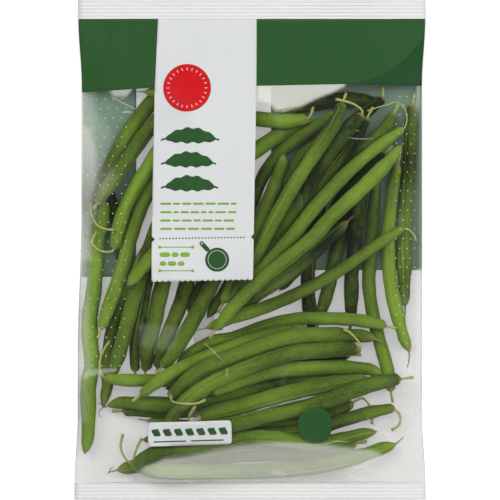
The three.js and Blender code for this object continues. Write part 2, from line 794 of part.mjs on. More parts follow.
/** The inner face of the bag as rows of closed rings: over the front from left to right, back below. */
function innerRows(height) {
  return ROWS.map((y, j) => {
    const wide = halfWidth(y);
    const front = FRONT.map((share, i) => new THREE.Vector3(share * wide, y, height[j][i]));
    const back = backColumns(y).map((x) => new THREE.Vector3(x, y, backHeight(x, y)));
    return [...front, ...back.reverse()];
  });
}

/** The outer face: the inner one moved out by the film's thickness, with the two flat seals added. */
function outerRows(inner) {
  const count = inner[0].length;
  const moved = inner.slice(1, -1).map((row, k) =>
    row.map((p, i) => {
      const across = row[(i + 1) % count].clone().sub(row[(i + count - 1) % count]);
      const along = inner[k + 2][i].clone().sub(inner[k][i]);
      const out = across.cross(along).normalize();
      const q = p.clone().addScaledVector(out, FILM);
      if (i >= FRONT.length) q.z = Math.abs(p.z - FILM) < 1e-6 ? 0 : Math.max(0, q.z);
      return q;
    }),
  );
  const seal = (y) => {
    const wide = halfWidth(y);
    const front = FRONT.map((share) => {
      const z = Math.abs(share) === 1 ? SEAL_HEIGHT : SEAL_HEIGHT + FILM;
      return new THREE.Vector3(share * (wide + FILM), y, z);
    });
    const wider = (wide + FILM) / wide;
    const back = backColumns(y).map((x) => new THREE.Vector3(x * wider, y, SEAL_HEIGHT - FILM));
    return [...front, ...back.reverse()];
  };
  return [seal(BOTTOM_END), seal(-SEAL_LINE - FILM), ...moved, seal(SEAL_LINE + FILM), seal(TOP_END)];
}

/** A manifold solid of a closed geometry. */
function solid(geometry) {
  geometry.deleteAttribute("normal");
  geometry.deleteAttribute("uv");
  const merged = mergeVertices(geometry, 1e-4);
  return new wasm.Manifold(
    new wasm.Mesh({
      numProp: 3,
      vertProperties: merged.attributes.position.array,
      triVerts: new Uint32Array(merged.index.array),
    }),
  );
}

/** The geometry of a manifold solid. */
function geometryOf(made) {
  const { vertProperties, triVerts, numProp } = made.getMesh();
  const geometry = new THREE.BufferGeometry();
  const array = new THREE.InterleavedBuffer(vertProperties, numProp);
  geometry.setAttribute("position", new THREE.InterleavedBufferAttribute(array, 3, 0));
  geometry.setIndex(new THREE.BufferAttribute(triVerts, 1));
  return geometry.toNonIndexed();
}

/** A small round cutter that stands through the front film at a place of the grid. */
function holeCutter(x, y, height) {
  const row = ROWS.findIndex((v) => v > y) - 1;
  const share = x / halfWidth(y);
  const column = FRONT.findIndex((v) => v > share) - 1;
  const s = (share - FRONT[column]) / (FRONT[column + 1] - FRONT[column]);
  const t = (y - ROWS[row]) / (ROWS[row + 1] - ROWS[row]);
  const near = mix(height[row][column], height[row][column + 1], s);
  const far = mix(height[row + 1][column], height[row + 1][column + 1], s);
  const cutter = new THREE.CylinderGeometry(HOLE_RADIUS, HOLE_RADIUS, HOLE_DEPTH, HOLE_SIDES);
  cutter.rotateX(Math.PI / 2);
  cutter.translate(x, y, mix(near, far, t) + FILM / 2);
  return solid(cutter);
}

/** The bag: film all round the beans, flat seals at both ends, air holes near the sides. */
function bagGeometry(heap) {
  const height = drapeFilm(heap);
  const inner = innerRows(height);
  let bag = solid(loft(outerRows(inner))).subtract(solid(loft(inner)));
  for (const x of HOLE_COLUMNS) for (const y of HOLE_ROWS) bag = bag.subtract(holeCutter(x, y, height));
  return geometryOf(bag);
}

const FILM_FINISH = new THREE.MeshStandardMaterial({
  color: 0xdfe6dc,
  roughness: 0.18,
  metalness: 0,
  transparent: true,
  opacity: 0.4,
});
const BEAN_FINISH = new THREE.MeshStandardMaterial({ color: 0x6f8f36, roughness: 0.5, metalness: 0 });
const DEEP_BEAN_FINISH = new THREE.MeshStandardMaterial({ color: 0x4d6a2a, roughness: 0.55, metalness: 0 });

const bundle = new THREE.Group();
bundle.position.set(0, -(TOP_END + BOTTOM_END) / 2, 0);

const heap = new Neighbours();
const overlies = (bean) => Boolean(bean.stalk) && !bean.deep;
const lines = BEANS.map((bean) => {
  const rings = beanRings(bean);
  layBean(rings, heap, overlies(bean) ? capRing(rings) : 0);
  return rings;
});
BEANS.forEach((bean, k) => {
  if (overlies(bean)) layStalk(lines[k], heap);
});
BEANS.forEach((bean, k) => {
  const geometry = beanGeometry(lines[k], bean.deep ? DEEP_SIDES : SIDES);
  const mesh = new THREE.Mesh(geometry, bean.deep ? DEEP_BEAN_FINISH : BEAN_FINISH);
  mesh.name = `bean_${String(k + 1).padStart(2, "0")}`;
  bundle.add(mesh);
});

const bag = new THREE.Mesh(bagGeometry(heap), FILM_FINISH);
bag.name = "film_bag";
bundle.add(bag);

export default bundle;
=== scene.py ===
"""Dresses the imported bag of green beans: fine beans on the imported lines, and the printed film over them.

The plan of the bag is laid out in millimetres from the middle of its contents, X to the right and Y
towards the upper seal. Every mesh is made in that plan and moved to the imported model's own place.
"""
import json
import logging
import math
from collections import deque
from dataclasses import dataclass, field
from enum import Enum
from typing import Any, Callable, Sequence

import bmesh
import bpy
import numpy as np
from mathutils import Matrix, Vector
from mathutils.geometry import delaunay_2d_cdt


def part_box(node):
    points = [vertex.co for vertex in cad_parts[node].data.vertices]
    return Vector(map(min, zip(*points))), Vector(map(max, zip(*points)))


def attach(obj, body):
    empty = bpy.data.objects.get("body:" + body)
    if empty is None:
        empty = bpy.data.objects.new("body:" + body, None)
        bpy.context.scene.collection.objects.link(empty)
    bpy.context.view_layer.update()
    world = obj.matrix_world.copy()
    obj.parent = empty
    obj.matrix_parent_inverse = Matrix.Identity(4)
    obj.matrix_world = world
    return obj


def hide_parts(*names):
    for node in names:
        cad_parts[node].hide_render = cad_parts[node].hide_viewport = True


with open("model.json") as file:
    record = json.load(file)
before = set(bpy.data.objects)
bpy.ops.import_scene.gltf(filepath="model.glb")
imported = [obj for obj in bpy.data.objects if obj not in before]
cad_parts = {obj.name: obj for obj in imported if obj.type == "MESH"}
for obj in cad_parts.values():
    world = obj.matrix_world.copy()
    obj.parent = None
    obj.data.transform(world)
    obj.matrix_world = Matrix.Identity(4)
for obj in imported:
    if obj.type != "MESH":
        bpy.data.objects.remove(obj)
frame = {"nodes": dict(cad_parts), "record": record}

log = logging.getLogger("green_beans")

MM = 0.001
BODY = "root"
FILM_NODE = "film_bag"
SEED = 7

# Driving dimensions of the bag, in millimetres
HALF_WIDTH = 89.8
SEAL_HALF_WIDTH = 91.6
FLARE_RUN = 34.0
SEAL_LINE = 120.0
TOP_END = 130.0
BOTTOM_END = -128.4
SEAL_HEIGHT = 5.0
FOLD_RADIUS = 5.2
END_RUN = 7.0
LYING_END = 110.0
CORNER_RUN = 34.0
CORNER_LIFT = 1.2
FILM_WALL = 0.08
INK_LIFT = 0.12
INK_WALL = 0.05

# The picture's frame: one of its pixels is this long on the bag
PIXEL = 0.52
PICTURE_PIXELS = 500
SHARP_PLANE = 15.0
LENS = 400.0
SENSOR = 36.0

Point = tuple[float, float]


class ToneAndShade(Enum):
    """How light a bean's skin is painted: its own lightness, with painted shade on beans lying deep in the
    heap and painted light on lit ones.
    """

    DEEP = 0.02
    DARK = 0.2
    MIDDLE = 0.35
    FRESH = 0.49
    LIGHT = 0.63
    PALE = 0.8


# The beans of each class of lightness, partly painted shade and light: beans deep in the heap are painted
# darker, lit ones lighter; the others are of the middle one
TONES_AND_SHADE = {
    ToneAndShade.DEEP: (1, 3, 6, 7, 8, 10),
    ToneAndShade.DARK: (2, 4, 5, 16, 17, 22, 31, 42),
    ToneAndShade.FRESH: (9, 15, 18, 19, 21, 24, 28, 32, 37, 43, 44, 46, 47, 48, 50),
    ToneAndShade.LIGHT: (13, 29, 36, 38, 39, 40, 41, 51, 52),
    ToneAndShade.PALE: (23, 30, 33, 34, 45),
}

# Beans that aren't as thick as their solids: the share of that thickness at the stalk end and the tail
SLIM_BEANS = {
    14: (0.92, 1.06),
    15: (0.9, 0.9),
    30: (0.86, 1.02),
    34: (0.9, 0.95),
    43: (0.72, 0.86),
    44: (0.94, 0.94),
    51: (0.56, 0.84),
    52: (0.74, 0.86),
}

# Beans that lie with a seam uppermost, and how far it is turned from the top, in radians
SEAM_UP = {12: 0.1, 30: -0.35, 34: 0.3, 42: 0.2, 44: -0.45}


def linear(colour: str) -> tuple[float, float, float, float]:
    """Turns an sRGB hex colour to linear.

    Args:
        colour: six hex digits.

    Returns:
        Red, green, blue and a full alpha.
    """
    values = [int(colour[k : k + 2], 16) / 255 for k in (0, 2, 4)]
    straight = [v / 12.92 if v <= 0.04045 else ((v + 0.055) / 1.055) ** 2.4 for v in values]
    return (*straight, 1.0)


def add_node(
    tree: bpy.types.NodeTree,
    kind: str,
    settings: dict[str, Any] | None = None,
    inputs: dict[str | int, Any] | None = None,
) -> bpy.types.Node:
    """Adds one node, sets it and wires it.

    Args:
        tree: the tree that the node goes in.
        kind: Blender's name of the node's type.
        settings: values of the node's own properties.
        inputs: for each input, by name or number, the socket that it is linked from or its value.

    Returns:
        The new node.
    """
    node = tree.nodes.new(kind)
    for key, value in (settings or {}).items():
        setattr(node, key, value)
    for key, value in (inputs or {}).items():
        if isinstance(value, bpy.types.NodeSocket):
            tree.links.new(value, node.inputs[key])
        else:
            node.inputs[key].default_value = value
    return node


def blank_material(name: str) -> tuple[bpy.types.Material, bpy.types.NodeTree]:
    """Makes a material with an empty node tree.

    Args:
        name: the material's name.

    Returns:
        The material and its tree.
    """
    material = bpy.data.materials.new(name)
    material.use_nodes = True
    material.node_tree.nodes.clear()
    return material, material.node_tree


def surfaced(material: bpy.types.Material, shader: bpy.types.Node) -> bpy.types.Material:
    """Wires a shader to its material's surface and hands the material back."""
    add_node(material.node_tree, "ShaderNodeOutputMaterial", inputs={"Surface": shader.outputs[0]})
    return material


def attribute(tree: bpy.types.NodeTree, name: str, output: str = "Fac") -> bpy.types.NodeSocket:
    """Reads one of the mesh's own attributes."""
    return add_node(tree, "ShaderNodeAttribute", {"attribute_name": name}).outputs[output]


def computed(
    tree: bpy.types.NodeTree, operation: str, *values: Any, clamp: bool = False
) -> bpy.types.NodeSocket:
    """Adds one step of arithmetic.

    Args:
        tree: the tree that it goes in.
        operation: Blender's name of the step.
        values: what it works on, each a socket or a number.
        clamp: whether the result is held between 0 and 1.

    Returns:
        The result.
    """
    settings = {"operation": operation, "use_clamp": clamp}
    return add_node(tree, "ShaderNodeMath", settings, dict(enumerate(values))).outputs[0]


def ranged(
    tree: bpy.types.NodeTree,
    value: bpy.types.NodeSocket,
    low: float,
    high: float,
    from_low: float = 0.0,
    from_high: float = 1.0,
) -> bpy.types.NodeSocket:
    """Moves a value from one range to another.

    Args:
        tree: the tree that the node goes in.
        value: the value.
        low: the result at the old range's low end.
        high: the result at its high end.
        from_low: the old range's low end.
        from_high: its high end.

    Returns:
        The result.
    """
    inputs = {0: value, 1: from_low, 2: from_high, 3: low, 4: high}
    return add_node(tree, "ShaderNodeMapRange", inputs=inputs).outputs[0]


def noise(
    tree: bpy.types.NodeTree,
    place: bpy.types.NodeSocket,
    scale: float,
    detail: float = 2.0,
    roughness: float = 0.5,
) -> bpy.types.NodeSocket:
    """Smooth chance from 0 to 1.

    Args:
        tree: the tree that the node goes in.
        place: where it is read.
        scale: how many swells to a unit of place.
        detail: how many finer layers it has.
        roughness: how strong those are.

    Returns:
        The value.
    """
    inputs = {"Vector": place, "Scale": scale, "Detail": detail, "Roughness": roughness}
    return add_node(tree, "ShaderNodeTexNoise", inputs=inputs).outputs["Fac"]


def blended(
    tree: bpy.types.NodeTree, share: bpy.types.NodeSocket, first: Any, second: Any
) -> bpy.types.NodeSocket:
    """Mixes two colours.

    Args:
        tree: the tree that the node goes in.
        share: the second one's share.
        first: a socket or hex digits.
        second: the same.

    Returns:
        The mixed colour.
    """
    ends = [linear(colour) if isinstance(colour, str) else colour for colour in (first, second)]
    inputs = {0: share, 6: ends[0], 7: ends[1]}
    return add_node(tree, "ShaderNodeMix", {"data_type": "RGBA"}, inputs).outputs[2]


def mixed(
    tree: bpy.types.NodeTree, share: bpy.types.NodeSocket, first: bpy.types.Node, second: bpy.types.Node
) -> bpy.types.Node:
    """Mixes two shaders, the second one by its share."""
    inputs = {0: share, 1: first.outputs[0], 2: second.outputs[0]}
    return add_node(tree, "ShaderNodeMixShader", inputs=inputs)


@dataclass(frozen=True)
class BeanSkin:
    """Fresh bean pod: a satin, faintly downy skin, mottled along its length, with a paler seam."""

    name: str = "fresh_bean_skin"
    # the darkest green also serves as painted shade on beans deep in the heap
    dark: str = "152506"
    light: str = "86A836"
    stalk: str = "B3B66C"
    cap: str = "80643A"
    seam: str = "A3BC50"
    roughness: float = 0.44
    mottle_per_mm: float = 0.36
    mottle_share: float = 0.42
    fleck_per_mm: float = 1.25
    fleck_share: float = 0.5
    broad_per_mm: float = 0.06
    broad_share: float = 0.6
    balance: float = 1.78
    dimple_per_mm: float = 1.6
    dimple_depth: float = 0.15

    def build(self) -> bpy.types.Material:
        """Builds the material, whose stretched noise follows the pod through its attributes."""
        material, tree = blank_material(self.name)
        marks = add_node(tree, "ShaderNodeAttribute", {"attribute_name": "marks"})
        parts = add_node(tree, "ShaderNodeSeparateColor", inputs={"Color": marks.outputs["Color"]})
        grain = attribute(tree, "grain", "Vector")
        mottle = noise(tree, grain, self.mottle_per_mm, 4.0, 0.6)
        fleck = noise(tree, grain, self.fleck_per_mm)
        broad = noise(tree, grain, self.broad_per_mm, 1.0)
        # the bean's lightness, painted shade and light included, from the marks' red
        tone_and_shade = computed(tree, "MULTIPLY", parts.outputs["Red"], 2.0)
        tone_and_shade = computed(tree, "MULTIPLY_ADD", mottle, self.mottle_share, tone_and_shade)
        tone_and_shade = computed(tree, "MULTIPLY_ADD", fleck, self.fleck_share, tone_and_shade)
        tone_and_shade = computed(tree, "MULTIPLY_ADD", broad, self.broad_share, tone_and_shade)
        tone_and_shade = computed(tree, "SUBTRACT", tone_and_shade, self.balance, clamp=True)
        colour = blended(tree, tone_and_shade, self.dark, self.light)
        colour = blended(tree, marks.outputs["Alpha"], colour, self.seam)
        colour = blended(tree, parts.outputs["Green"], colour, self.stalk)
        colour = blended(tree, parts.outputs["Blue"], colour, self.cap)
        dimples = noise(tree, grain, self.dimple_per_mm)
        relief = {"Height": dimples, "Strength": 0.25, "Distance": self.dimple_depth * MM}
        inputs = {
            "Base Color": colour,
            "Roughness": ranged(tree, mottle, self.roughness - 0.06, self.roughness + 0.1),
            "IOR": 1.45,
            "Sheen Weight": 0.05,
            "Sheen Roughness": 0.5,
            "Normal": add_node(tree, "ShaderNodeBump", inputs=relief).outputs["Normal"],
        }
        return surfaced(material, add_node(tree, "ShaderNodeBsdfPrincipled", inputs=inputs))


@dataclass(frozen=True)
class ClearFilm:
    """Cast polypropylene film: see-through, mirror-smooth, a little milky where it is crinkled; its milky
    white also stands for painted reflection, and its back wall is greyer as painted shadow under the bag.
    """

    name: str = "clear_polypropylene_film"
    tint: str = "FEFEFE"
    under: str = "EBEBEB"
    milk: str = "F7F6EE"
    roughness: float = 0.12
    straight_on: float = 0.014
    haze_and_reflection: float = 0.003

    def build(self) -> bpy.types.Material:
        """Builds the material: more mirror at a glancing angle, a greyer back wall as painted shadow under
        the bag, and a milky white from the film's attribute, much of it painted reflection.
        """
        material, tree = blank_material(self.name)
        slant = add_node(tree, "ShaderNodeLayerWeight", inputs={"Blend": 0.5})
        steep = computed(tree, "POWER", slant.outputs["Facing"], 5.0)
        mirror = computed(tree, "MULTIPLY_ADD", steep, 1 - self.straight_on, self.straight_on)
        # painted shadow: the back wall's clear colour is greyer, standing in for the shade under the bag
        tint = blended(tree, attribute(tree, "under"), self.tint, self.under)
        clear = add_node(tree, "ShaderNodeBsdfTransparent", inputs={"Color": tint})
        shine = {"Color": linear("FFFFFF"), "Roughness": self.roughness}
        film = mixed(tree, mirror, clear, add_node(tree, "ShaderNodeBsdfGlossy", inputs=shine))
        # the milky white: real milkiness and, mostly, painted reflection of the lights
        milky = computed(tree, "ADD", attribute(tree, "haze_and_reflection"), self.haze_and_reflection, clamp=True)
        milk = add_node(tree, "ShaderNodeBsdfDiffuse", inputs={"Color": linear(self.milk)})
        return surfaced(material, mixed(tree, milky, film, milk))


@dataclass(frozen=True)
class PrintedInk:
    """Ink printed under the film's gloss: an even colour with the faint mottle of flexo printing."""

    name: str
    colour: str
    roughness: float = 0.3
    coat: float = 0.25
    mottle: float = 0.06
    mottle_per_metre: float = 90.0

    def build(self) -> bpy.types.Material:
        """Builds the material, with a very light cloudiness in its colour and gloss."""
        material, tree = blank_material(self.name)
        place = add_node(tree, "ShaderNodeTexCoord").outputs["Object"]
        cloud = noise(tree, place, self.mottle_per_metre, 3.0)
        lighter = ranged(tree, cloud, 1 - self.mottle, 1 + self.mottle)
        colour = add_node(
            tree, "ShaderNodeHueSaturation", inputs={"Value": lighter, "Color": linear(self.colour)}
        )
        inputs = {
            "Base Color": colour.outputs[0],
            "Roughness": ranged(tree, cloud, self.roughness - 0.04, self.roughness + 0.06),
            "IOR": 1.49,
            "Coat Weight": self.coat,
            "Coat Roughness": 0.12,
        }
        return surfaced(material, add_node(tree, "ShaderNodeBsdfPrincipled", inputs=inputs))


@dataclass(frozen=True)
class LightTable:
    """Opal acrylic of a light table: pale, matt and evenly glowing."""

    name: str = "opal_light_table"
    colour: str = "F7F6F4"
    glow: float = 0.49

    def build(self) -> bpy.types.Material:
        """Builds the floor's plain material."""
        material, tree = blank_material(self.name)
        inputs = {
            "Base Color": linear(self.colour),
            "Roughness": 0.9,
            "Specular IOR Level": 0.1,
            "Emission Color": linear(self.colour),
            "Emission Strength": self.glow,
        }
        return surfaced(material, add_node(tree, "ShaderNodeBsdfPrincipled", inputs=inputs))


@dataclass(frozen=True)
class CreaseStreakWhite:
    """White streaks along the film's creases: a see-through white, soft and without gloss."""

    name: str = "creased_film_white"
    white: str = "F4F4F0"
    cover: float = 0.2
    breaks_per_metre: float = 700.0

    def build(self) -> bpy.types.Material:
        """Builds the material, broken up by a fine noise along the crease."""
        material, tree = blank_material(self.name)
        place = add_node(tree, "ShaderNodeTexCoord").outputs["Object"]
        broken = noise(tree, place, self.breaks_per_metre)
        share = ranged(tree, broken, 0.4 * self.cover, 1.5 * self.cover, 0.3, 0.7)
        clear = add_node(tree, "ShaderNodeBsdfTransparent")
        white = add_node(tree, "ShaderNodeBsdfDiffuse", inputs={"Color": linear(self.white)})
        return surfaced(material, mixed(tree, share, clear, white))


@dataclass(frozen=True)
class DriedHair:
    """The withered thread at a pod's tip: dark, dry and dull."""

    name: str = "dried_pod_thread"
    colour: str = "3B3A20"
    tip: str = "6E6436"
    patches_per_metre: float = 350.0

    def build(self) -> bpy.types.Material:
        """Builds the material, lighter in patches."""
        material, tree = blank_material(self.name)
        place = add_node(tree, "ShaderNodeTexCoord").outputs["Object"]
        colour = blended(tree, noise(tree, place, self.patches_per_metre), self.colour, self.tip)
        inputs = {"Base Color": colour, "Roughness": 0.75}
        return surfaced(material, add_node(tree, "ShaderNodeBsdfPrincipled", inputs=inputs))


def plan_shift() -> float:
    """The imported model's Y of the plan's middle, in millimetres."""
    _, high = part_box(FILM_NODE)
    return high.y / MM - TOP_END


SHIFT = plan_shift()


def mesh_object(
    name: str,
    points: np.ndarray,
    faces: Sequence[Sequence[int]],
    material: bpy.types.Material,
) -> bpy.types.Object:
    """Makes a smooth-shaded object from points in the plan's millimetres.

    Args:
        name: the piece's name.
        points: one row of X, Y and Z for each vertex.
        faces: the vertex numbers of each face.
        material: the piece's finish.

    Returns:
        The object, at the origin.
    """
    placed = (np.asarray(points, float) + (0.0, SHIFT, 0.0)) * MM
    mesh = bpy.data.meshes.new(name)
    mesh.from_pydata(placed.tolist(), [], [list(f) for f in faces])
    mesh.materials.append(material)
    mesh.shade_smooth()
    mesh.update()
    made = bpy.data.objects.new(name, mesh)
    bpy.context.scene.collection.objects.link(made)
    return made


def applied(made: bpy.types.Object) -> bpy.types.Object:
    """Turns an object's modifiers into its mesh and removes them.

    Args:
        made: the object.

    Returns:
        The same object, with a plain mesh.
    """
    graph = bpy.context.evaluated_depsgraph_get()
    mesh = bpy.data.meshes.new_from_object(made.evaluated_get(graph), depsgraph=graph)
    made.modifiers.clear()
    old = made.data
    made.data = mesh
    mesh.name = made.name
    bpy.data.meshes.remove(old)
    return made


def thickened(made: bpy.types.Object, wall: float, offset: float) -> bpy.types.Object:
    """Gives a sheet its wall.

    Args:
        made: a single-walled object.
        wall: the wall in millimetres.
        offset: -1 for a wall inside the faces, 1 for one outside, 0 for half of it on each side.

    Returns:
        The same object with two faces and a rim.
    """
    solidify = made.modifiers.new("wall", "SOLIDIFY")
    solidify.thickness = wall * MM
    solidify.offset = offset
    return applied(made)


def write_attribute(made: bpy.types.Object, name: str, kind: str, values: np.ndarray) -> None:
    """Writes an attribute of a mesh's points.

    Args:
        made: the object.
        name: the attribute's name.
        kind: FLOAT, FLOAT_VECTOR or FLOAT_COLOR.
        values: one value or row for each point.
    """
    key = {"FLOAT": "value", "FLOAT_VECTOR": "vector", "FLOAT_COLOR": "color"}[kind]
    layer = made.data.attributes.new(name, kind, "POINT")
    layer.data.foreach_set(key, values.astype(np.float32).ravel())


def distances(line: np.ndarray) -> np.ndarray:
    """How far along a line each of its points lies."""
    return np.concatenate(([0.0], np.cumsum(np.linalg.norm(np.diff(line, axis=0), axis=1))))


def directions(line: np.ndarray) -> np.ndarray:
    """Which way a line runs at each of its points."""
    along = np.gradient(line, axis=0)
    return along / np.linalg.norm(along, axis=1)[:, None]


def rings(places: np.ndarray, reach: np.ndarray, sides: int) -> tuple[np.ndarray, list[tuple[int, ...]]]:
    """A round skin along a line, open at both ends.

    Args:
        places: the line's points.
        reach: a row for each of them: its distance to the ring's points, one for all or one for each.
        sides: how many points a ring has.

    Returns:
        Points and faces.
    """
    along = directions(places)
    across = np.cross(along, (0.0, 0.0, 1.0))
    across /= np.linalg.norm(across, axis=1)[:, None]
    over = np.cross(across, along)
    turns = np.linspace(0, 2 * math.pi, sides, endpoint=False)
    points = (
        places[:, None, :]
        + (reach * np.cos(turns))[:, :, None] * across[:, None, :]
        + (reach * np.sin(turns))[:, :, None] * over[:, None, :]
    ).reshape(-1, 3)
    faces: list[tuple[int, ...]] = []
    for j in range(0, (len(places) - 1) * sides, sides):
        for i in range(sides):
            after = (i + 1) % sides
            faces.append((j + i, j + sides + i, j + sides + after, j + after))
    return points, faces


def new_tree(
    name: str, sizes: dict[str, float], takes_mesh: bool = False
) -> tuple[bpy.types.NodeTree, bpy.types.Node, dict[str, float]]:
    """Makes a Geometry Nodes tree with named inputs.

    Args:
        name: the tree's name.
        sizes: the inputs' values by name.
        takes_mesh: whether a mesh goes in first.

    Returns:
        The tree, its input node and the values by socket identifier.
    """
    tree = bpy.data.node_groups.new(name, "GeometryNodeTree")
    tree.interface.new_socket("Geometry", in_out="OUTPUT", socket_type="NodeSocketGeometry")
    if takes_mesh:
        tree.interface.new_socket("Geometry", in_out="INPUT", socket_type="NodeSocketGeometry")
    values = {}
    for key, size in sizes.items():
        socket = tree.interface.new_socket(key, in_out="INPUT", socket_type="NodeSocketFloat")
        values[socket.identifier] = size
    return tree, add_node(tree, "NodeGroupInput"), values


def grown(
    name: str,
    tree: bpy.types.NodeTree,
    result: bpy.types.Node,
    values: dict[str, float],
    material: bpy.types.Material,
    base: bpy.types.Object | None = None,
) -> bpy.types.Object:
    """Ends a Geometry Nodes tree, runs it and keeps its result as a plain mesh.

    Args:
        name: the piece's name.
        tree: the tree.
        result: its last node.
        values: its inputs by socket identifier.
        material: the piece's finish.
        base: an object whose mesh goes in, or None.

    Returns:
        The piece, smooth-shaded and without modifiers.
    """
    real = add_node(tree, "GeometryNodeRealizeInstances", inputs={0: result.outputs[0]})
    coat = {"Geometry": real.outputs[0], "Material": material}
    coated = add_node(tree, "GeometryNodeSetMaterial", inputs=coat)
    add_node(tree, "NodeGroupOutput", inputs={0: coated.outputs[0]})
    mesh = base.data.copy() if base else bpy.data.meshes.new(name)
    made = bpy.data.objects.new(name, mesh)
    bpy.context.scene.collection.objects.link(made)
    grow = made.modifiers.new("grow", "NODES")
    grow.node_group = tree
    for key, value in values.items():
        grow[key] = value
    applied(made)
    made.data.shade_smooth()
    return made


@dataclass
class BeanLine:
    """The line of one packed bean: its rings' middles and radii, in the plan's millimetres."""

    SHOULDER = 5.5
    POD_RADIUS = 1.5
    TAIL_RADIUS = 1.2
    centres: np.ndarray
    radii: np.ndarray

    @classmethod
    def of(cls, node: bpy.types.Object) -> "BeanLine":
        """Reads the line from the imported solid, whose rings lie between two pointed ends.

        Args:
            node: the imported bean.

        Returns:
            The line from the stalk's cut end to the tail's tip.
        """
        solid = bmesh.new()
        solid.from_mesh(node.data)
        bmesh.ops.remove_doubles(solid, verts=solid.verts, dist=0.02 * MM)
        solid.verts.ensure_lookup_table()
        start = cls._layers(solid, 0)[-1][0]
        layers = cls._layers(solid, start)
        places = [np.array([solid.verts[k].co for k in layer]) / MM for layer in layers]
        solid.free()
        centres = np.array([p.mean(0) for p in places]) - (0.0, SHIFT, 0.0)
        radii = np.array([np.linalg.norm(p - p.mean(0), axis=1).mean() for p in places])
        if radii[1] < radii[-2]:
            centres, radii = centres[::-1], radii[::-1]
        return cls(centres[1:-1], radii[1:-1])

    @staticmethod
    def _layers(solid: bmesh.types.BMesh, start: int) -> list[list[int]]:
        """The vertices at each number of edges from one vertex.

        Args:
            solid: the merged mesh.
            start: the number of the first vertex.

        Returns:
            A list of vertex numbers for each distance.
        """
        far = {start: 0}
        queue = deque([start])
        while queue:
            now = queue.popleft()
            for edge in solid.verts[now].link_edges:
                other = edge.other_vert(solid.verts[now]).index
                if other not in far:
                    far[other] = far[now] + 1
                    queue.append(other)
        layers: list[list[int]] = [[] for _ in range(max(far.values()) + 1)]
        for vertex, distance in far.items():
            layers[distance].append(vertex)
        return layers

    def fine(self, step: float) -> tuple[np.ndarray, np.ndarray, np.ndarray]:
        """Samples the line evenly on a smooth curve through the rings.

        Args:
            step: the spacing in millimetres.

        Returns:
            Distances from the stalk's cut end, places and radii.
        """
        at = distances(self.centres)
        even = np.linspace(0.0, at[-1], max(8, int(at[-1] / step)) + 1)
        slopes = np.gradient(self.centres, at, axis=0)
        k = np.clip(np.searchsorted(at, even, side="right") - 1, 0, len(at) - 2)
        run = at[k + 1] - at[k]
        t = ((even - at[k]) / run)[:, None]
        a, b = self.centres[k], self.centres[k + 1]
        ma, mb = slopes[k] * run[:, None], slopes[k + 1] * run[:, None]
        places = (
            (2 * t**3 - 3 * t**2 + 1) * a
            + (t**3 - 2 * t**2 + t) * ma
            + (3 * t**2 - 2 * t**3) * b
            + (t**3 - t**2) * mb
        )
        s = t[:, 0] * t[:, 0] * (3 - 2 * t[:, 0])
        return even, places, self.radii[k] * (1 - s) + self.radii[k + 1] * s

    def trimmed(self, at: np.ndarray, radii: np.ndarray, taper: float) -> np.ndarray:
        """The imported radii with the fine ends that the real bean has.

        Args:
            at: distances along the line.
            radii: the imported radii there.
            taper: least length over which the pod runs out.

        Returns:
            The radii with a rounded pod end, a thin stalk and a thread-like tail.
        """
        cap, (wide, tail) = self.cap_distance(), self.tail_distances()
        taper = max(taper, tail - wide + 2.0)
        slim = np.where(at < cap, 0.58 * radii, radii)
        full_until = tail + 1.0 - 1.5 * taper
        left = np.clip((tail + 1.0 - at) / taper, 0, 1)
        last = float(np.interp(full_until, at, radii))
        pod_end = last * np.clip(1 - (1 - left) ** 2, 0, 1) ** 0.7
        thread = 0.5 - 0.3 * np.clip((at - tail) / max(1.0, float(at[-1]) - tail), 0, 1)
        slim = np.where(at > full_until, np.maximum(pod_end, thread), slim)
        into = np.clip((at - cap) / self.SHOULDER, 0, 1)
        first = float(np.interp(cap + self.SHOULDER, at, radii))
        shoulder = first * (0.4 + 0.6 * np.sqrt(into * (2 - into)))
        return np.where((at >= cap) & (into < 1), shoulder, slim)

    def cap_distance(self) -> float:
        """Distance from the stalk's cut end to where the pod begins."""
        at = distances(self.centres)
        first = int(np.argmax(self.radii > self.POD_RADIUS))
        return float(at[first]) - 1.0

    def tail_distances(self) -> tuple[float, float]:
        """Distances from the stalk's cut end to the pod's last wide place and to where the pod ends."""
        at = distances(self.centres)
        last = len(self.radii) - 1 - int(np.argmax(self.radii[::-1] > self.TAIL_RADIUS))
        return float(at[last]), float(at[min(last + 1, len(at) - 1)]) - 1.0


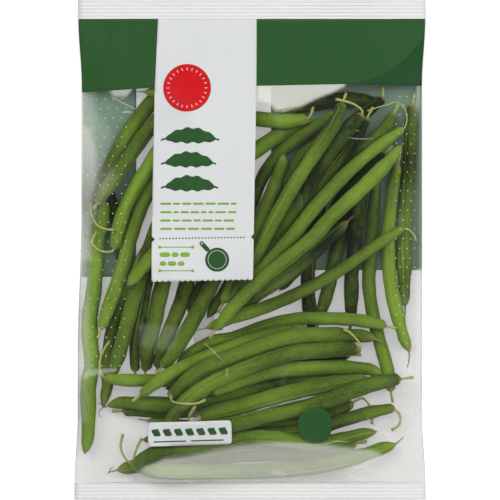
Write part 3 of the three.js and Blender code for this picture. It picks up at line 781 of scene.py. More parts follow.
@dataclass
class GreenBean:
    """One whole bean, grown as a single piece: stalk, cap, pod with two seams, and hooked tail."""

    number: int
    line: BeanLine
    step: float = 1.1
    sides: int = 28
    flatness: float = 0.035
    seed_pitch: float = 11.5
    seed_bulge: float = 0.022
    seam_depth: float = 0.065
    seam_spread: float = 0.14
    cap_lobes: int = 5
    at: np.ndarray = field(init=False)
    places: np.ndarray = field(init=False)
    radii: np.ndarray = field(init=False)
    swell: np.ndarray = field(init=False)

    def __post_init__(self) -> None:
        """Works out the bean's fine line, its radii and how it swells over its seeds."""
        rng = np.random.default_rng(SEED * 1000 + self.number)
        self.at, self.places, packed = self.line.fine(self.step)
        first, last = SLIM_BEANS.get(self.number, (1.0, 1.0))
        share = self.at / self.at[-1]
        slim = first + (last - first) * smooth_step(np.clip(1.5 * share, 0, 1))
        self.radii = slim * self.line.trimmed(self.at, packed, rng.uniform(6.0, 10.0))
        self.places[:, 2] = np.maximum(self.places[:, 2], self.radii + 0.4)
        cap, tail = self.line.cap_distance(), self.line.tail_distances()[1]
        in_pod = np.clip((self.at - cap) / 6, 0, 1) * np.clip((tail - self.at) / 9, 0, 1)
        wander = sum(
            rng.uniform(0.006, 0.016) * np.sin(2 * math.pi * self.at / wave + rng.uniform(0, 6.3))
            for wave in (23.0, 41.0, 67.0)
        )
        phase = rng.uniform(0, 6.3)
        seeds = self.seed_bulge * np.sin(2 * math.pi * (self.at - cap) / self.seed_pitch + phase)
        self.swell = 1 + in_pod * (wander + seeds)

    def tone_and_shade(self) -> float:
        """How light the bean's skin is painted, from 0 to 1, painted shade and light included."""
        found = [tone_and_shade for tone_and_shade, beans in TONES_AND_SHADE.items() if self.number in beans]
        return found[0].value if found else ToneAndShade.MIDDLE.value

    def build(self, skin: bpy.types.Material) -> bpy.types.Object:
        """Builds the bean's mesh and its skin attributes.

        Args:
            skin: the finish of the pod.

        Returns:
            The bean.
        """
        rng = np.random.default_rng(SEED * 2000 + self.number)
        at, places, radii = self.at, self.places, self.radii
        cap, tail = self.line.cap_distance(), self.line.tail_distances()[1]
        turns = np.linspace(0, 2 * math.pi, self.sides, endpoint=False)
        seam_at = rng.uniform(-0.9, 0.9) + rng.uniform(-0.012, 0.012) * (at - cap)
        if self.number in SEAM_UP:
            seam_at = math.pi / 2 + SEAM_UP[self.number] + 0.003 * (at - cap)
        round_seam = turns[None, :] - seam_at[:, None]
        in_pod = np.clip((at - cap) / 6, 0, 1) * np.clip((tail - at) / 9, 0, 1)
        shape = 1 + self.flatness * np.cos(2 * round_seam) * in_pod[:, None]
        for side in (0.0, math.pi):
            off = np.angle(np.exp(1j * (round_seam - side)))
            groove = np.exp(-((off / self.seam_spread) ** 2))
            lips = np.exp(-(((np.abs(off) - 2.1 * self.seam_spread) / self.seam_spread) ** 2))
            depth = self.seam_depth if side == 0.0 else 0.4 * self.seam_depth
            shape += depth * in_pod[:, None] * (0.35 * lips - groove)
        lobe = np.clip(1 - np.abs(at - cap - 1.2) / 2.4, 0, 1)
        shape += 0.22 * lobe[:, None] * np.clip(np.cos(self.cap_lobes * turns), 0, 1)[None, :]
        knot = np.clip(1 - np.abs(at - 0.35 * cap) / 1.3, 0, 1) * (at < cap - 2)
        reach = radii * self.swell * (1 + 0.22 * knot)
        points, faces = rings(places, reach[:, None] * shape, self.sides)
        along, sides = directions(places), self.sides
        tips = [places[0] - 0.25 * along[0], places[-1] + 0.9 * along[-1]]
        first_tip, last_tip = len(points), len(points) + 1
        faces += [(first_tip, i, (i + 1) % sides) for i in range(sides)]
        start = len(points) - sides
        faces += [(last_tip, start + (i + 1) % sides, start + i) for i in range(sides)]
        made = mesh_object(f"green_bean_{self.number:02d}", np.vstack([points, tips]), faces, skin)
        self._mark(made, at, round_seam, radii, cap, tail, rng)
        return made

    def _mark(
        self,
        made: bpy.types.Object,
        at: np.ndarray,
        round_seam: np.ndarray,
        radii: np.ndarray,
        cap: float,
        tail: float,
        rng: np.random.Generator,
    ) -> None:
        """Writes what the skin reads: lightness with painted shade and light, stalk, cap and seam, and a
        grain that follows the pod.

        Args:
            made: the bean.
            at: distances along it.
            round_seam: angles from its seam.
            radii: its radii.
            cap: where the pod begins.
            tail: where the pod ends.
            rng: the bean's own source of chance.
        """
        stalk = np.clip((cap + 2.0 - at) / 3.0, 0, 1)
        tail_pale = 0.35 * np.clip((at - tail + 6) / 8, 0, 1)
        brown = np.clip(1 - np.abs(at - cap - 0.3) / 1.5, 0, 1) * rng.uniform(0.25, 0.75)
        brown = np.maximum(brown, 0.8 * np.clip((at - at[-1] + 2.5) / 2.5, 0, 1))
        brown = np.maximum(brown, 0.5 * np.clip((1.2 - at) / 1.2, 0, 1))
        drift = 0.14 * np.sin(at / 21 + rng.uniform(0, 6.3))
        drift += 0.08 * np.sin(at / 8 + rng.uniform(0, 6.3))
        # painted shade and light: the class darkens beans deep in the heap and lightens lit ones
        tone_and_shade = self.tone_and_shade() + rng.uniform(-0.03, 0.03) + drift
        off = np.abs(np.angle(np.exp(1j * round_seam)))
        seam = 0.34 * np.exp(-((off / 0.09) ** 2))
        beside = 0.17 * np.exp(-(((off - 0.25) / 0.12) ** 2))
        marks = np.zeros((len(at), self.sides, 4))
        marks[:, :, 0] = 0.5 + 0.5 * (tone_and_shade[:, None] - beside)  # the skin doubles it again
        marks[:, :, 1] = np.maximum(stalk, tail_pale)[:, None]
        marks[:, :, 2] = np.clip(brown, 0, 1)[:, None]
        marks[:, :, 3] = seam * np.clip((at - cap) / 5, 0, 1)[:, None]
        grain = np.zeros((len(at), self.sides, 3))
        grain[:, :, 0] = radii[:, None] * np.cos(round_seam)
        grain[:, :, 1] = radii[:, None] * np.sin(round_seam)
        grain[:, :, 2] = at[:, None] / 1.9 + 60 * self.number
        for name, kind, rows in (("marks", "FLOAT_COLOR", marks), ("grain", "FLOAT_VECTOR", grain)):
            flat = rows.reshape(-1, rows.shape[-1])
            write_attribute(made, name, kind, np.vstack([flat, rows[0, :1], rows[-1, :1]]))


def smooth_step(t: np.ndarray | float) -> np.ndarray | float:
    """A soft run from 0 to 1."""
    return t * t * (3 - 2 * t)


def half_width(y: np.ndarray | float) -> np.ndarray | float:
    """Half the bag's width at a distance along it."""
    t = np.clip((np.abs(y) - (SEAL_LINE - FLARE_RUN)) / FLARE_RUN, 0, 1)
    return HALF_WIDTH + (SEAL_HALF_WIDTH - HALF_WIDTH) * smooth_step(t)


def end_rise(y: np.ndarray | float) -> np.ndarray | float:
    """0 over the flat back, 1 where the back film reaches a seal."""
    return np.clip((np.abs(y) - (SEAL_LINE - END_RUN)) / END_RUN, 0, 1) ** 2


def back_height(x: np.ndarray, y: np.ndarray) -> np.ndarray:
    """Height of the back film's outer face, which lifts off the table at its four corners."""
    turn = np.clip((np.abs(y) - (LYING_END - CORNER_RUN)) / CORNER_RUN, 0, 1)
    fold = half_width(y) - FOLD_RADIUS
    run = np.maximum(1.5, CORNER_RUN * (1 - np.sqrt(1 - turn * turn)))
    lift = CORNER_LIFT * turn * np.clip((np.abs(x) - fold + run) / run, 0, 1)
    into = np.clip(np.abs(x) - fold, 0, FOLD_RADIUS) / FOLD_RADIUS
    side = lift + (FOLD_RADIUS - lift) * (1 - np.sqrt(np.clip(1 - into * into, 0, 1)))
    rise = end_rise(y)
    return side * (1 - rise) + (SEAL_HEIGHT - 0.1) * rise


def cloth_noise(rng: np.random.Generator, wave_x: float, wave_y: float) -> Callable[..., np.ndarray]:
    """Smooth chance relief over the bag's plan.

    Args:
        rng: the source of chance.
        wave_x: its wavelength across the bag, in millimetres.
        wave_y: its wavelength along the bag, in millimetres.

    Returns:
        A function of X and Y whose values mostly lie within -1 and 1.
    """
    rows, columns = 280, 200
    ky = np.fft.fftfreq(rows)[:, None]
    kx = np.fft.fftfreq(columns)[None, :]
    keep = np.exp(-((kx * wave_x) ** 2 + (ky * wave_y) ** 2) * 2)
    field_values = np.real(np.fft.ifft2(np.fft.fft2(rng.normal(size=(rows, columns))) * keep))
    field_values /= 2 * field_values.std()

    def at(x: np.ndarray, y: np.ndarray) -> np.ndarray:
        """The relief at places of the plan."""
        gx = np.clip(np.asarray(x) + columns / 2, 0, columns - 2.001)
        gy = np.clip(np.asarray(y) + rows / 2, 0, rows - 2.001)
        i, j = gx.astype(int), gy.astype(int)
        u, v = gx - i, gy - j
        low = field_values[j, i] * (1 - u) + field_values[j, i + 1] * u
        high = field_values[j + 1, i] * (1 - u) + field_values[j + 1, i + 1] * u
        return low * (1 - v) + high * v

    return at


@dataclass(frozen=True)
class ReflectionAndMilkPatch:
    """A stretch of film painted milky: mostly painted reflection of the lights where the film turns down at
    the bag's sides, near the seals and along a few folds, partly real milkiness where it is rubbed.
    """

    strength: float
    edge: float
    outline: tuple[Point, ...]

    def amount(self, x: np.ndarray, y: np.ndarray) -> np.ndarray:
        """How milky, as painted reflection and milkiness, the patch makes each place.

        Args:
            x: the places' X.
            y: the places' Y.

        Returns:
            From 0 outside to the patch's strength inside.
        """
        near = np.full(x.shape, 1e9)
        within = np.zeros(x.shape, bool)
        for (ax, ay), (bx, by) in zip(self.outline, (*self.outline[1:], self.outline[0])):
            dx, dy = bx - ax, by - ay
            t = np.clip(((x - ax) * dx + (y - ay) * dy) / (dx**2 + dy**2), 0, 1)
            near = np.minimum(near, np.hypot(x - ax - t * dx, y - ay - t * dy))
            within ^= ((ay > y) != (by > y)) & (ax + (y - ay) * dx / (dy or 1e-9) > x)
        depth = np.where(within, near, -near)
        return self.strength * smooth_step(np.clip(0.5 + depth / self.edge, 0, 1))


# The milky stretches, mostly painted reflection of the lights, partly rubbed film: how milky, how soft the
# edge is, and the outline in plan
REFLECTION_AND_MILK_PATCHES = (
    ReflectionAndMilkPatch(0.42, 2.2, (
        (-62.4, -119.6), (-62.4, -117), (-54.6, -111.3), (-44.7, -107.1), (-31.2, -105.6), (-18.7, -103),
        (-7.3, -100.6), (6.2, -99.3), (16.6, -98.8), (36.4, -100), (48.4, -101.4), (64, -103.2),
        (69.7, -105.6), (63.4, -110.2), (52, -114.4), (41.6, -119.6),
    )),
    ReflectionAndMilkPatch(0.62, 2.2, (
        (3.6, 88), (49.4, 88), (49.4, 85.3), (42.1, 81.6), (34.8, 78.7), (26, 74.4), (14, 72.3),
        (9.4, 76.4), (3.6, 77.5),
    )),
    ReflectionAndMilkPatch(0.13, 6.0, (
        (-89, 80.6), (-84.8, 74.6), (-78, 67.6), (-72.9, 60.8), (-75.9, 52), (-79, 39.5), (-89, 23.4),
    )),
    ReflectionAndMilkPatch(0.15, 9.0, (
        (-89, 68.6), (-84.2, 59.8), (-81.1, 49.4), (-79, 39.5), (-83.2, 31.2), (-89, 26),
    )),
    ReflectionAndMilkPatch(0.15, 9.0, (
        (-89, 26), (-79, 39.5), (-73.8, 42.6), (-71.8, 37.4), (-78, 26), (-82.2, 18.2), (-89, 7.8),
    )),
    ReflectionAndMilkPatch(0.26, 3.5, (
        (-92, 7.8), (-85.2, 5.2), (-84.6, -26), (-84.2, -46.8), (-82.6, -61.4), (-84.8, -66), (-92, -64),
    )),
    ReflectionAndMilkPatch(0.13, 3.0, ((-92, -64), (-84.8, -66), (-85, -90), (-92, -90))),
    ReflectionAndMilkPatch(0.16, 5.0, ((-92, 84), (-83, 82), (-82, 62), (-92, 62))),
    ReflectionAndMilkPatch(0.38, 4.0, (
        (-92, 66), (-84.4, 62), (-82, 52), (-81.8, 34), (-84.6, 24), (-84.2, -5), (-92, -6),
    )),
    ReflectionAndMilkPatch(0.3, 1.4, (
        (-87.3, -65.8), (-85, -62.9), (-78.8, -61.9), (-69.8, -61.6), (-69.2, -62.9), (-79.4, -64.7),
        (-83.3, -65.8), (-86.7, -67.5),
    )),
    ReflectionAndMilkPatch(0.34, 1.2, ((52, -111.5), (58, -110), (71, -112.6), (76, -116.2), (66, -117), (56, -115))),
    ReflectionAndMilkPatch(0.28, 1.0, ((10.5, -113.4), (15, -112.4), (20, -114.6), (17, -116.4), (12, -115.8))),
    ReflectionAndMilkPatch(0.07, 3.0, ((-57.7, -38), (-35.4, -39.5), (-40.6, -52), (-57.2, -49.4))),
    ReflectionAndMilkPatch(0.45, 1.5, ((-75, 84), (-61, 85), (-65, 80), (-72, 80))),
    ReflectionAndMilkPatch(0.34, 0.8, ((87, 88), (88.6, 91), (88.4, 82), (87.8, 75), (87.2, 64), (86.6, 76))),
    ReflectionAndMilkPatch(0.26, 1.5, ((86.8, -10), (92, -10), (92, -94), (87.8, -94))),
)

# White streaks on creases in the front film: width and route in plan
CREASES: tuple[tuple[float, tuple[Point, ...]], ...] = (
    (0.5, ((-24.1, -47.7), (-18.5, -52.8), (-14.0, -57.4))),
    (0.6, ((-11.7, -60.7), (-12.3, -66.4))),
    (0.55, ((50.2, 58.1), (57.2, 57.5), (64.3, 57.8))),
    (0.4, ((54.6, 61.9), (57.0, 61.8))),
    (1.2, ((-67.7, 71.6), (-64.5, 72.0), (-61.7, 71.6))),
    (0.7, ((-72.8, 79.6), (-69.0, 77.5), (-59.5, 73.0))),
    (0.5, ((-57.3, -56.2), (-56.3, -64.0))),
    (0.5, ((-82.8, 38.0), (-79.0, 33.5), (-76.6, 31.0))),
    (0.6, ((38.0, -100.2), (44.0, -98.4), (52.0, -98.9))),
    (0.5, ((60.0, -86.0), (66.0, -91.5), (71.0, -97.5))),
)


@dataclass
class FilmShape:
    """The drawn film as a height over the plan: tight over the beans, held at folds and seals."""

    beans: list[GreenBean]
    step: float = 1.25
    clearance: float = 0.3
    ridge_room: float = 1.05
    passes: int = 520
    soft_passes: int = 3
    give: float = 0.2
    pull: float = 1.85
    near_fold: tuple[float, ...] = (0.0, 0.12, 0.35, 0.75, 1.3, 2.1, 3.1, 4.4)
    rows: np.ndarray = field(init=False)
    shares: np.ndarray = field(init=False)
    heights: np.ndarray = field(init=False)
    gaps: np.ndarray = field(init=False)

    def __post_init__(self) -> None:
        """Draws the film over the heap."""
        self.rows = np.linspace(-SEAL_LINE, SEAL_LINE, int(2 * SEAL_LINE / self.step) + 1)
        inner = HALF_WIDTH - self.near_fold[-1]
        middle = np.linspace(-inner, inner, int(2 * inner / self.step) + 1)[1:-1]
        left = np.array(self.near_fold) - HALF_WIDTH
        self.shares = np.concatenate([left, middle, -left[::-1]]) / HALF_WIDTH
        x = self.shares[None, :] * half_width(self.rows)[:, None]
        y = np.repeat(self.rows[:, None], len(self.shares), axis=1)
        least = self._eased(self._heap_height(x, y))
        self.heights = self._draw(x, y, least)
        self.gaps = self.heights - least
        self.heights += self._wrinkles(x, y)

    def _heap_height(self, x: np.ndarray, y: np.ndarray) -> np.ndarray:
        """Height of the heap of beans with its clearance, and of the back film where there is none."""
        least = back_height(x, y) + 0.3
        for bean in self.beans:
            for (cx, cy, cz), radius in zip(bean.places, self.ridge_room * bean.radii * bean.swell):
                reach = radius + self.clearance
                j0, j1 = np.searchsorted(self.rows, (cy - reach, cy + reach))
                if j0 == j1:
                    continue
                wide = half_width(cy)
                sides = ((cx - reach) / wide - 0.01, (cx + reach) / wide + 0.01)
                near = (slice(j0, j1), slice(*np.searchsorted(self.shares, sides)))
                rest = reach**2 - (x[near] - cx) ** 2 - (y[near] - cy) ** 2
                top = np.where(rest > 0, cz + np.sqrt(np.maximum(rest, 0)), -1.0)
                least[near] = np.maximum(least[near], top)
        return least

    @staticmethod
    def _eased(least: np.ndarray) -> np.ndarray:
        """Keeps the film a step off the beans' steep sides, where it would otherwise run jagged."""
        rows, columns = least.shape
        edged = np.pad(least, 1, mode="edge")
        grown = np.max([edged[j : j + rows, i : i + columns] for j in range(3) for i in range(3)], axis=0)
        for _ in range(2):
            edged = np.pad(grown, 1, mode="edge")
            across = edged[:, :-2] / 4 + edged[:, 1:-1] / 2 + edged[:, 2:] / 4
            grown = across[:-2] / 4 + across[1:-1] / 2 + across[2:] / 4
        return np.maximum(least, grown)

    def _draw(self, x: np.ndarray, y: np.ndarray, least: np.ndarray) -> np.ndarray:
        """Pulls a stretched skin over the heap.

        Args:
            x: the grid's X.
            y: the grid's Y.
            least: the lowest height at each point.

        Returns:
            The skin's height.
        """
        rise = end_rise(self.rows)
        z = np.maximum(least, 6.0)
        fold = FOLD_RADIUS * (1 - rise) + SEAL_HEIGHT * rise
        z[:, 0] = z[:, -1] = fold
        z[0, :] = z[-1, :] = SEAL_HEIGHT + 0.15
        z[0, 0] = z[0, -1] = z[-1, 0] = z[-1, -1] = SEAL_HEIGHT
        west = 1 / (x[1:-1, 1:-1] - x[1:-1, :-2])
        east = 1 / (x[1:-1, 2:] - x[1:-1, 1:-1])
        south = 1 / (y[1:-1, 1:-1] - y[:-2, 1:-1])
        north = 1 / (y[2:, 1:-1] - y[1:-1, 1:-1])
        total = west + east + south + north
        turn = (np.add.outer(np.arange(z.shape[0] - 2), np.arange(z.shape[1] - 2)) % 2).astype(bool)
        floor = least[1:-1, 1:-1]
        for _ in range(self.passes):
            for now in (turn, ~turn):
                inner = z[1:-1, 1:-1]
                mean = (
                    west * z[1:-1, :-2] + east * z[1:-1, 2:] + south * z[:-2, 1:-1] + north * z[2:, 1:-1]
                ) / total
                moved = np.maximum(floor, inner + self.pull * (mean - inner))
                z[1:-1, 1:-1] = np.where(now, moved, inner)
        for _ in range(self.soft_passes):
            soft = z[:, :-2] / 4 + z[:, 1:-1] / 2 + z[:, 2:] / 4
            soft = soft[:-2] / 4 + soft[1:-1] / 2 + soft[2:] / 4
            z[1:-1, 1:-1] = np.maximum(soft, floor - self.give)
        return z

    def _wrinkles(self, x: np.ndarray, y: np.ndarray) -> np.ndarray:
        """Small folds where the film spans free, fanning out from both seals."""
        rng = np.random.default_rng(SEED)
        soft = cloth_noise(rng, 16, 22)(x, y)
        pleat = cloth_noise(rng, 9, 60)(x, y)
        free = np.clip(self.gaps / 1.5, 0, 1)
        inside = np.clip((half_width(y) - np.abs(x)) / 8, 0, 1)
        near_seal = np.exp(-(SEAL_LINE - np.abs(y)) / 20) * np.clip((SEAL_LINE - np.abs(y)) / 5, 0, 1)
        return inside * (0.22 * free * np.abs(soft) + 0.5 * near_seal * np.abs(pleat))

    def height(self, x: np.ndarray, y: np.ndarray) -> np.ndarray:
        """Height of the front film at places of the plan.

        Args:
            x: their X.
            y: their Y.

        Returns:
            The heights.
        """
        share = np.clip(np.asarray(x) / half_width(np.asarray(y)), -1, 1)
        i = np.clip(np.searchsorted(self.shares, share, side="right") - 1, 0, len(self.shares) - 2)
        u = (share - self.shares[i]) / (self.shares[i + 1] - self.shares[i])
        place = np.clip((np.asarray(y) + SEAL_LINE) / (2 * SEAL_LINE), 0, 1) * (len(self.rows) - 1)
        j = np.clip(place.astype(int), 0, len(self.rows) - 2)
        v = place - j
        low = self.heights[j, i] * (1 - u) + self.heights[j, i + 1] * u
        high = self.heights[j + 1, i] * (1 - u) + self.heights[j + 1, i + 1] * u
        return low * (1 - v) + high * v


@dataclass
class FilmBag:
    """The clear pillow bag: one tube of film, flat crimped seals and a lengthwise seam on its back."""

    shape: FilmShape
    back_columns: int = 36
    seal_wall: float = 0.3
    seal_columns: int = 61
    crimp_pitch: float = 1.8
    crimp_step: float = 0.22
    seam_x: float = -24.0
    seam_width: float = 11.0
    seam_lift: float = 0.22
    seam_wall: float = 0.1
    seam_haze: float = 0.16
    hole_radius: float = 0.32
    hole_stray: float = 0.25

    def tube(self, film: bpy.types.Material) -> bpy.types.Object:
        """The film all round the beans, between the two seals."""
        rows, shares = self.shape.rows, self.shape.shares
        inner = 1 - FOLD_RADIUS / HALF_WIDTH
        turn = np.linspace(0, math.pi / 2, 7)[1:]
        corner = 1 - (1 - np.sin(turn)) * FOLD_RADIUS / HALF_WIDTH
        level = np.linspace(-inner, inner, self.back_columns)
        back = np.concatenate([-corner[::-1][1:], level, corner[:-1]])
        points = []
        for j, y in enumerate(rows):
            wide = half_width(y)
            points += [(s * wide, y, self.shape.heights[j, i]) for i, s in enumerate(shares)]
            x = back[::-1] * wide
            points += list(zip(x, np.full(len(x), y), back_height(x, np.full(len(x), y))))
        count = len(shares) + len(back)
        faces = []
        for j in range(0, (len(rows) - 1) * count, count):
            for i in range(count):
                after = (i + 1) % count
                faces.append((j + i, j + after, j + count + after, j + count + i))
        made = mesh_object("bag_film", np.array(points), faces, film)
        # the film's milkiness, much of it painted reflection
        write_attribute(made, "haze_and_reflection", "FLOAT", self._haze_and_reflection(np.array(points)))
        # marks the back wall, which the film's material paints greyer as shadow under the bag
        write_attribute(made, "under", "FLOAT", np.tile(np.arange(count) >= len(shares), len(rows)))
        made.visible_shadow = False
        return thickened(made, FILM_WALL, -1)

    def _haze_and_reflection(self, points: np.ndarray) -> np.ndarray:
        """How milky the film is painted: painted reflection along its sides, more towards the lower seal,
        real milkiness in a few scuffs, and the patches' painted reflection.
        """
        x, y = points[:, 0], points[:, 1]
        rng = np.random.default_rng(SEED + 1)
        scuff = cloth_noise(rng, 5, 14)(x, y)
        # painted reflection: milkier near the side folds, where the film turns down towards the lights
        edge = np.exp(-(half_width(y) - np.abs(x)) / 1.6) * np.where((x > 0) & (y > -10), 0.35, 1.0)
        foot = np.clip((-y - 108) / 12, 0, 1)
        clear = (1 - 0.22 * edge) * (1 - 0.06 * foot) * (1 - 0.08 * np.clip(scuff - 1.0, 0, 1))
        above = points[:, 2] > back_height(x, y) + 0.5
        # the patches: painted reflection and some rubbed milkiness
        for patch in REFLECTION_AND_MILK_PATCHES:
            clear *= 1 - np.where(above, patch.amount(x, y), 0)
        return 1 - np.sqrt(clear)

    def crimp(
        self, name: str, start: float, end: float, depth: float, material: bpy.types.Material
    ) -> bpy.types.Object:
        """A flat seal with pressed ridges that run across the bag, built with Geometry Nodes.

        Args:
            name: the piece's name.
            start: where along the bag it begins.
            end: its cut edge.
            depth: the ridges' depth.
            material: the seal's finish.

        Returns:
            The seal.
        """
        sizes = {
            "Width": 2 * SEAL_HALF_WIDTH * MM,
            "Length": abs(end - start) * MM,
            "Pitch": self.crimp_pitch * MM,
            "Depth": depth * MM,
            "Middle": ((start + end) / 2 + SHIFT) * MM,
            "Height": SEAL_HEIGHT * MM,
        }
        tree, given, values = new_tree(f"{name}_ridges", sizes)
        counts = {
            "Size X": given.outputs["Width"],
            "Size Y": given.outputs["Length"],
            "Vertices X": self.seal_columns,
            "Vertices Y": int(abs(end - start) / self.crimp_step) + 1,
        }
        grid = add_node(tree, "GeometryNodeMeshGrid", inputs=counts)
        place = add_node(tree, "GeometryNodeInputPosition").outputs[0]
        along = add_node(tree, "ShaderNodeSeparateXYZ", inputs={0: place}).outputs["Y"]
        turns = computed(tree, "DIVIDE", along, given.outputs["Pitch"])
        wave = computed(tree, "SINE", computed(tree, "MULTIPLY", turns, 2 * math.pi))
        uneven = ranged(tree, noise(tree, place, 28.0, 1.0), 0.25, 1.0, 0.35, 0.65)
        relief = computed(tree, "MULTIPLY", wave, uneven)
        relief = computed(tree, "MULTIPLY", relief, given.outputs["Depth"])
        lift = computed(tree, "ADD", relief, given.outputs["Height"])
        offset = add_node(tree, "ShaderNodeCombineXYZ", inputs={"Y": given.outputs["Middle"], "Z": lift})
        move = {"Geometry": grid.outputs["Mesh"], "Offset": offset.outputs[0]}
        ridged = add_node(tree, "GeometryNodeSetPosition", inputs=move)
        return thickened(grown(name, tree, ridged, values, material), self.seal_wall, 0)

    def back_seam(self, film: bpy.types.Material) -> bpy.types.Object:
        """The lengthwise seam: a narrow flap of doubled film, folded flat on the bag's back."""
        rows = self.shape.rows
        left = np.full(len(rows), self.seam_x - self.seam_width / 2)
        right = left + self.seam_width
        sides = [np.column_stack([x, rows, back_height(x, rows) + self.seam_lift]) for x in (left, right)]
        low = np.concatenate(sides)
        n = len(rows)
        faces = [(j, n + j, n + j + 1, j + 1) for j in range(n - 1)]
        made = mesh_object("back_seam", low, faces, film)
        write_attribute(made, "haze_and_reflection", "FLOAT", np.full(len(low), self.seam_haze))
        return thickened(made, self.seam_wall, 1)

    def air_holes(
        self,
        name: str,
        corner: Point,
        columns: int,
        rows: int,
        pitch: Point,
        base: bpy.types.Object,
        material: bpy.types.Material,
    ) -> bpy.types.Object:
        """Pricked holes with a raised rim, in staggered rows, set on the film with Geometry Nodes.

        Args:
            name: the piece's name.
            corner: the lattice's lowest left place.
            columns: how many holes across.
            rows: how many rows along.
            pitch: the spacing across and along.
            base: the film that they stand on.
            material: the stretched film of the rims.

        Returns:
            The rims as one mesh.
        """
        sizes = {"Radius": self.hole_radius * MM, "Stagger": pitch[0] / 2 * MM}
        tree, given, values = new_tree(f"{name}_lattice", sizes, takes_mesh=True)
        width, length = (columns - 1) * pitch[0], (rows - 1) * pitch[1]
        counts = {"Size X": width * MM, "Size Y": length * MM, "Vertices X": columns, "Vertices Y": rows}
        grid = add_node(tree, "GeometryNodeMeshGrid", inputs=counts)
        number = add_node(tree, "GeometryNodeInputIndex").outputs[0]
        odd = computed(tree, "MODULO", computed(tree, "MODULO", number, float(rows)), 2.0)
        aside = computed(tree, "MULTIPLY", odd, given.outputs["Stagger"])
        shift = add_node(tree, "ShaderNodeCombineXYZ", inputs={"X": aside}).outputs[0]
        stray = self.hole_stray * MM
        reach = {0: (-stray, -stray, 0.0), 1: (stray, stray, 0.0), "Seed": SEED}
        chance = add_node(tree, "FunctionNodeRandomValue", {"data_type": "FLOAT_VECTOR"}, reach)
        middle = ((corner[0] + width / 2) * MM, (corner[1] + length / 2 + SHIFT) * MM, 60 * MM)
        for part in (chance.outputs[0], middle):
            shift = add_node(
                tree, "ShaderNodeVectorMath", {"operation": "ADD"}, {0: shift, 1: part}
            ).outputs[0]
        move = {"Geometry": grid.outputs["Mesh"], "Offset": shift}
        above = add_node(tree, "GeometryNodeSetPosition", inputs=move)
        ray = {
            "Target Geometry": given.outputs["Geometry"],
            "Ray Direction": (0.0, 0.0, -1.0),
            "Ray Length": 70 * MM,
        }
        down = add_node(tree, "GeometryNodeRaycast", inputs=ray)
        put = {
            "Geometry": above.outputs[0],
            "Selection": down.outputs["Is Hit"],
            "Position": down.outputs["Hit Position"],
        }
        set_down = add_node(tree, "GeometryNodeSetPosition", inputs=put)
        normal = {"Vector": down.outputs["Hit Normal"]}
        facing = add_node(tree, "FunctionNodeAlignRotationToVector", {"axis": "Z"}, normal)
        ball = {"Segments": 8, "Rings": 5, "Radius": given.outputs["Radius"]}
        rim = add_node(tree, "GeometryNodeMeshUVSphere", inputs=ball)
        copies = {
            "Points": set_down.outputs[0],
            "Instance": rim.outputs["Mesh"],
            "Rotation": facing.outputs[0],
            "Scale": (1.0, 1.0, 0.45),
        }
        dots = add_node(tree, "GeometryNodeInstanceOnPoints", inputs=copies)
        return grown(name, tree, dots, values, material, base)


@dataclass
class PrintedSheet:
    """Ink on the film: flat outlines of the plan laid on a height, as one thin piece."""

    name: str
    height: Callable[[np.ndarray, np.ndarray], np.ndarray]
    lift: float = INK_LIFT
    step: float = 1.6
    outlines: list[list[Point]] = field(default_factory=list)

    def add(self, outline: Sequence[Point]) -> "PrintedSheet":
        """Adds one closed outline."""
        self.outlines.append([tuple(p) for p in outline])
        return self

    def build(self, ink: bpy.types.Material, facing_up: bool = True) -> bpy.types.Object:
        """Lays the outlines on the film.

        Args:
            ink: the finish.
            facing_up: whether the printed face looks up.

        Returns:
            The printed piece.
        """
        points: list[Point] = []
        faces: list[list[int]] = []
        for outline in self.outlines:
            self._triangulate(self._even(outline), points, faces)
        flat = np.array(points)
        z = self.height(flat[:, 0], flat[:, 1]) + self.lift
        made = mesh_object(self.name, np.column_stack([flat, z]), faces, ink)
        solid = bmesh.new()
        solid.from_mesh(made.data)
        bmesh.ops.recalc_face_normals(solid, faces=solid.faces)
        for face in solid.faces:
            if (face.normal.z < 0) == facing_up:
                face.normal_flip()
        solid.to_mesh(made.data)
        solid.free()
        return thickened(made, INK_WALL, -1)

    def _even(self, outline: Sequence[Point]) -> list[Point]:
        """The outline with no side longer than the step."""
        even: list[Point] = []
        for (ax, ay), (bx, by) in zip(outline, [*outline[1:], outline[0]]):
            count = max(1, math.ceil(math.hypot(bx - ax, by - ay) / self.step))
            even += [(ax + (bx - ax) * k / count, ay + (by - ay) * k / count) for k in range(count)]
        return even

    def _triangulate(self, outline: list[Point], points: list[Point], faces: list[list[int]]) -> None:
        """Fills an outline with triangles whose inner corners lie on an even grid.

        Args:
            outline: its points in order.
            points: the piece's points, which grow.
            faces: the piece's faces, which grow.
        """
        xs, ys = [p[0] for p in outline], [p[1] for p in outline]
        inner = [
            (float(x), float(y))
            for x in np.arange(min(xs) + self.step / 2, max(xs), self.step)
            for y in np.arange(min(ys) + self.step / 2, max(ys), self.step)
            if inside(outline, float(x), float(y), self.step * 0.35)
        ]
        corners = [Vector(p) for p in [*outline, *inner]]
        found, _, triangles, *_ = delaunay_2d_cdt(corners, [], [list(range(len(outline)))], 1, 1e-6)
        base = len(points)
        points += [(v.x, v.y) for v in found]
        faces += [[base + k for k in triangle] for triangle in triangles]


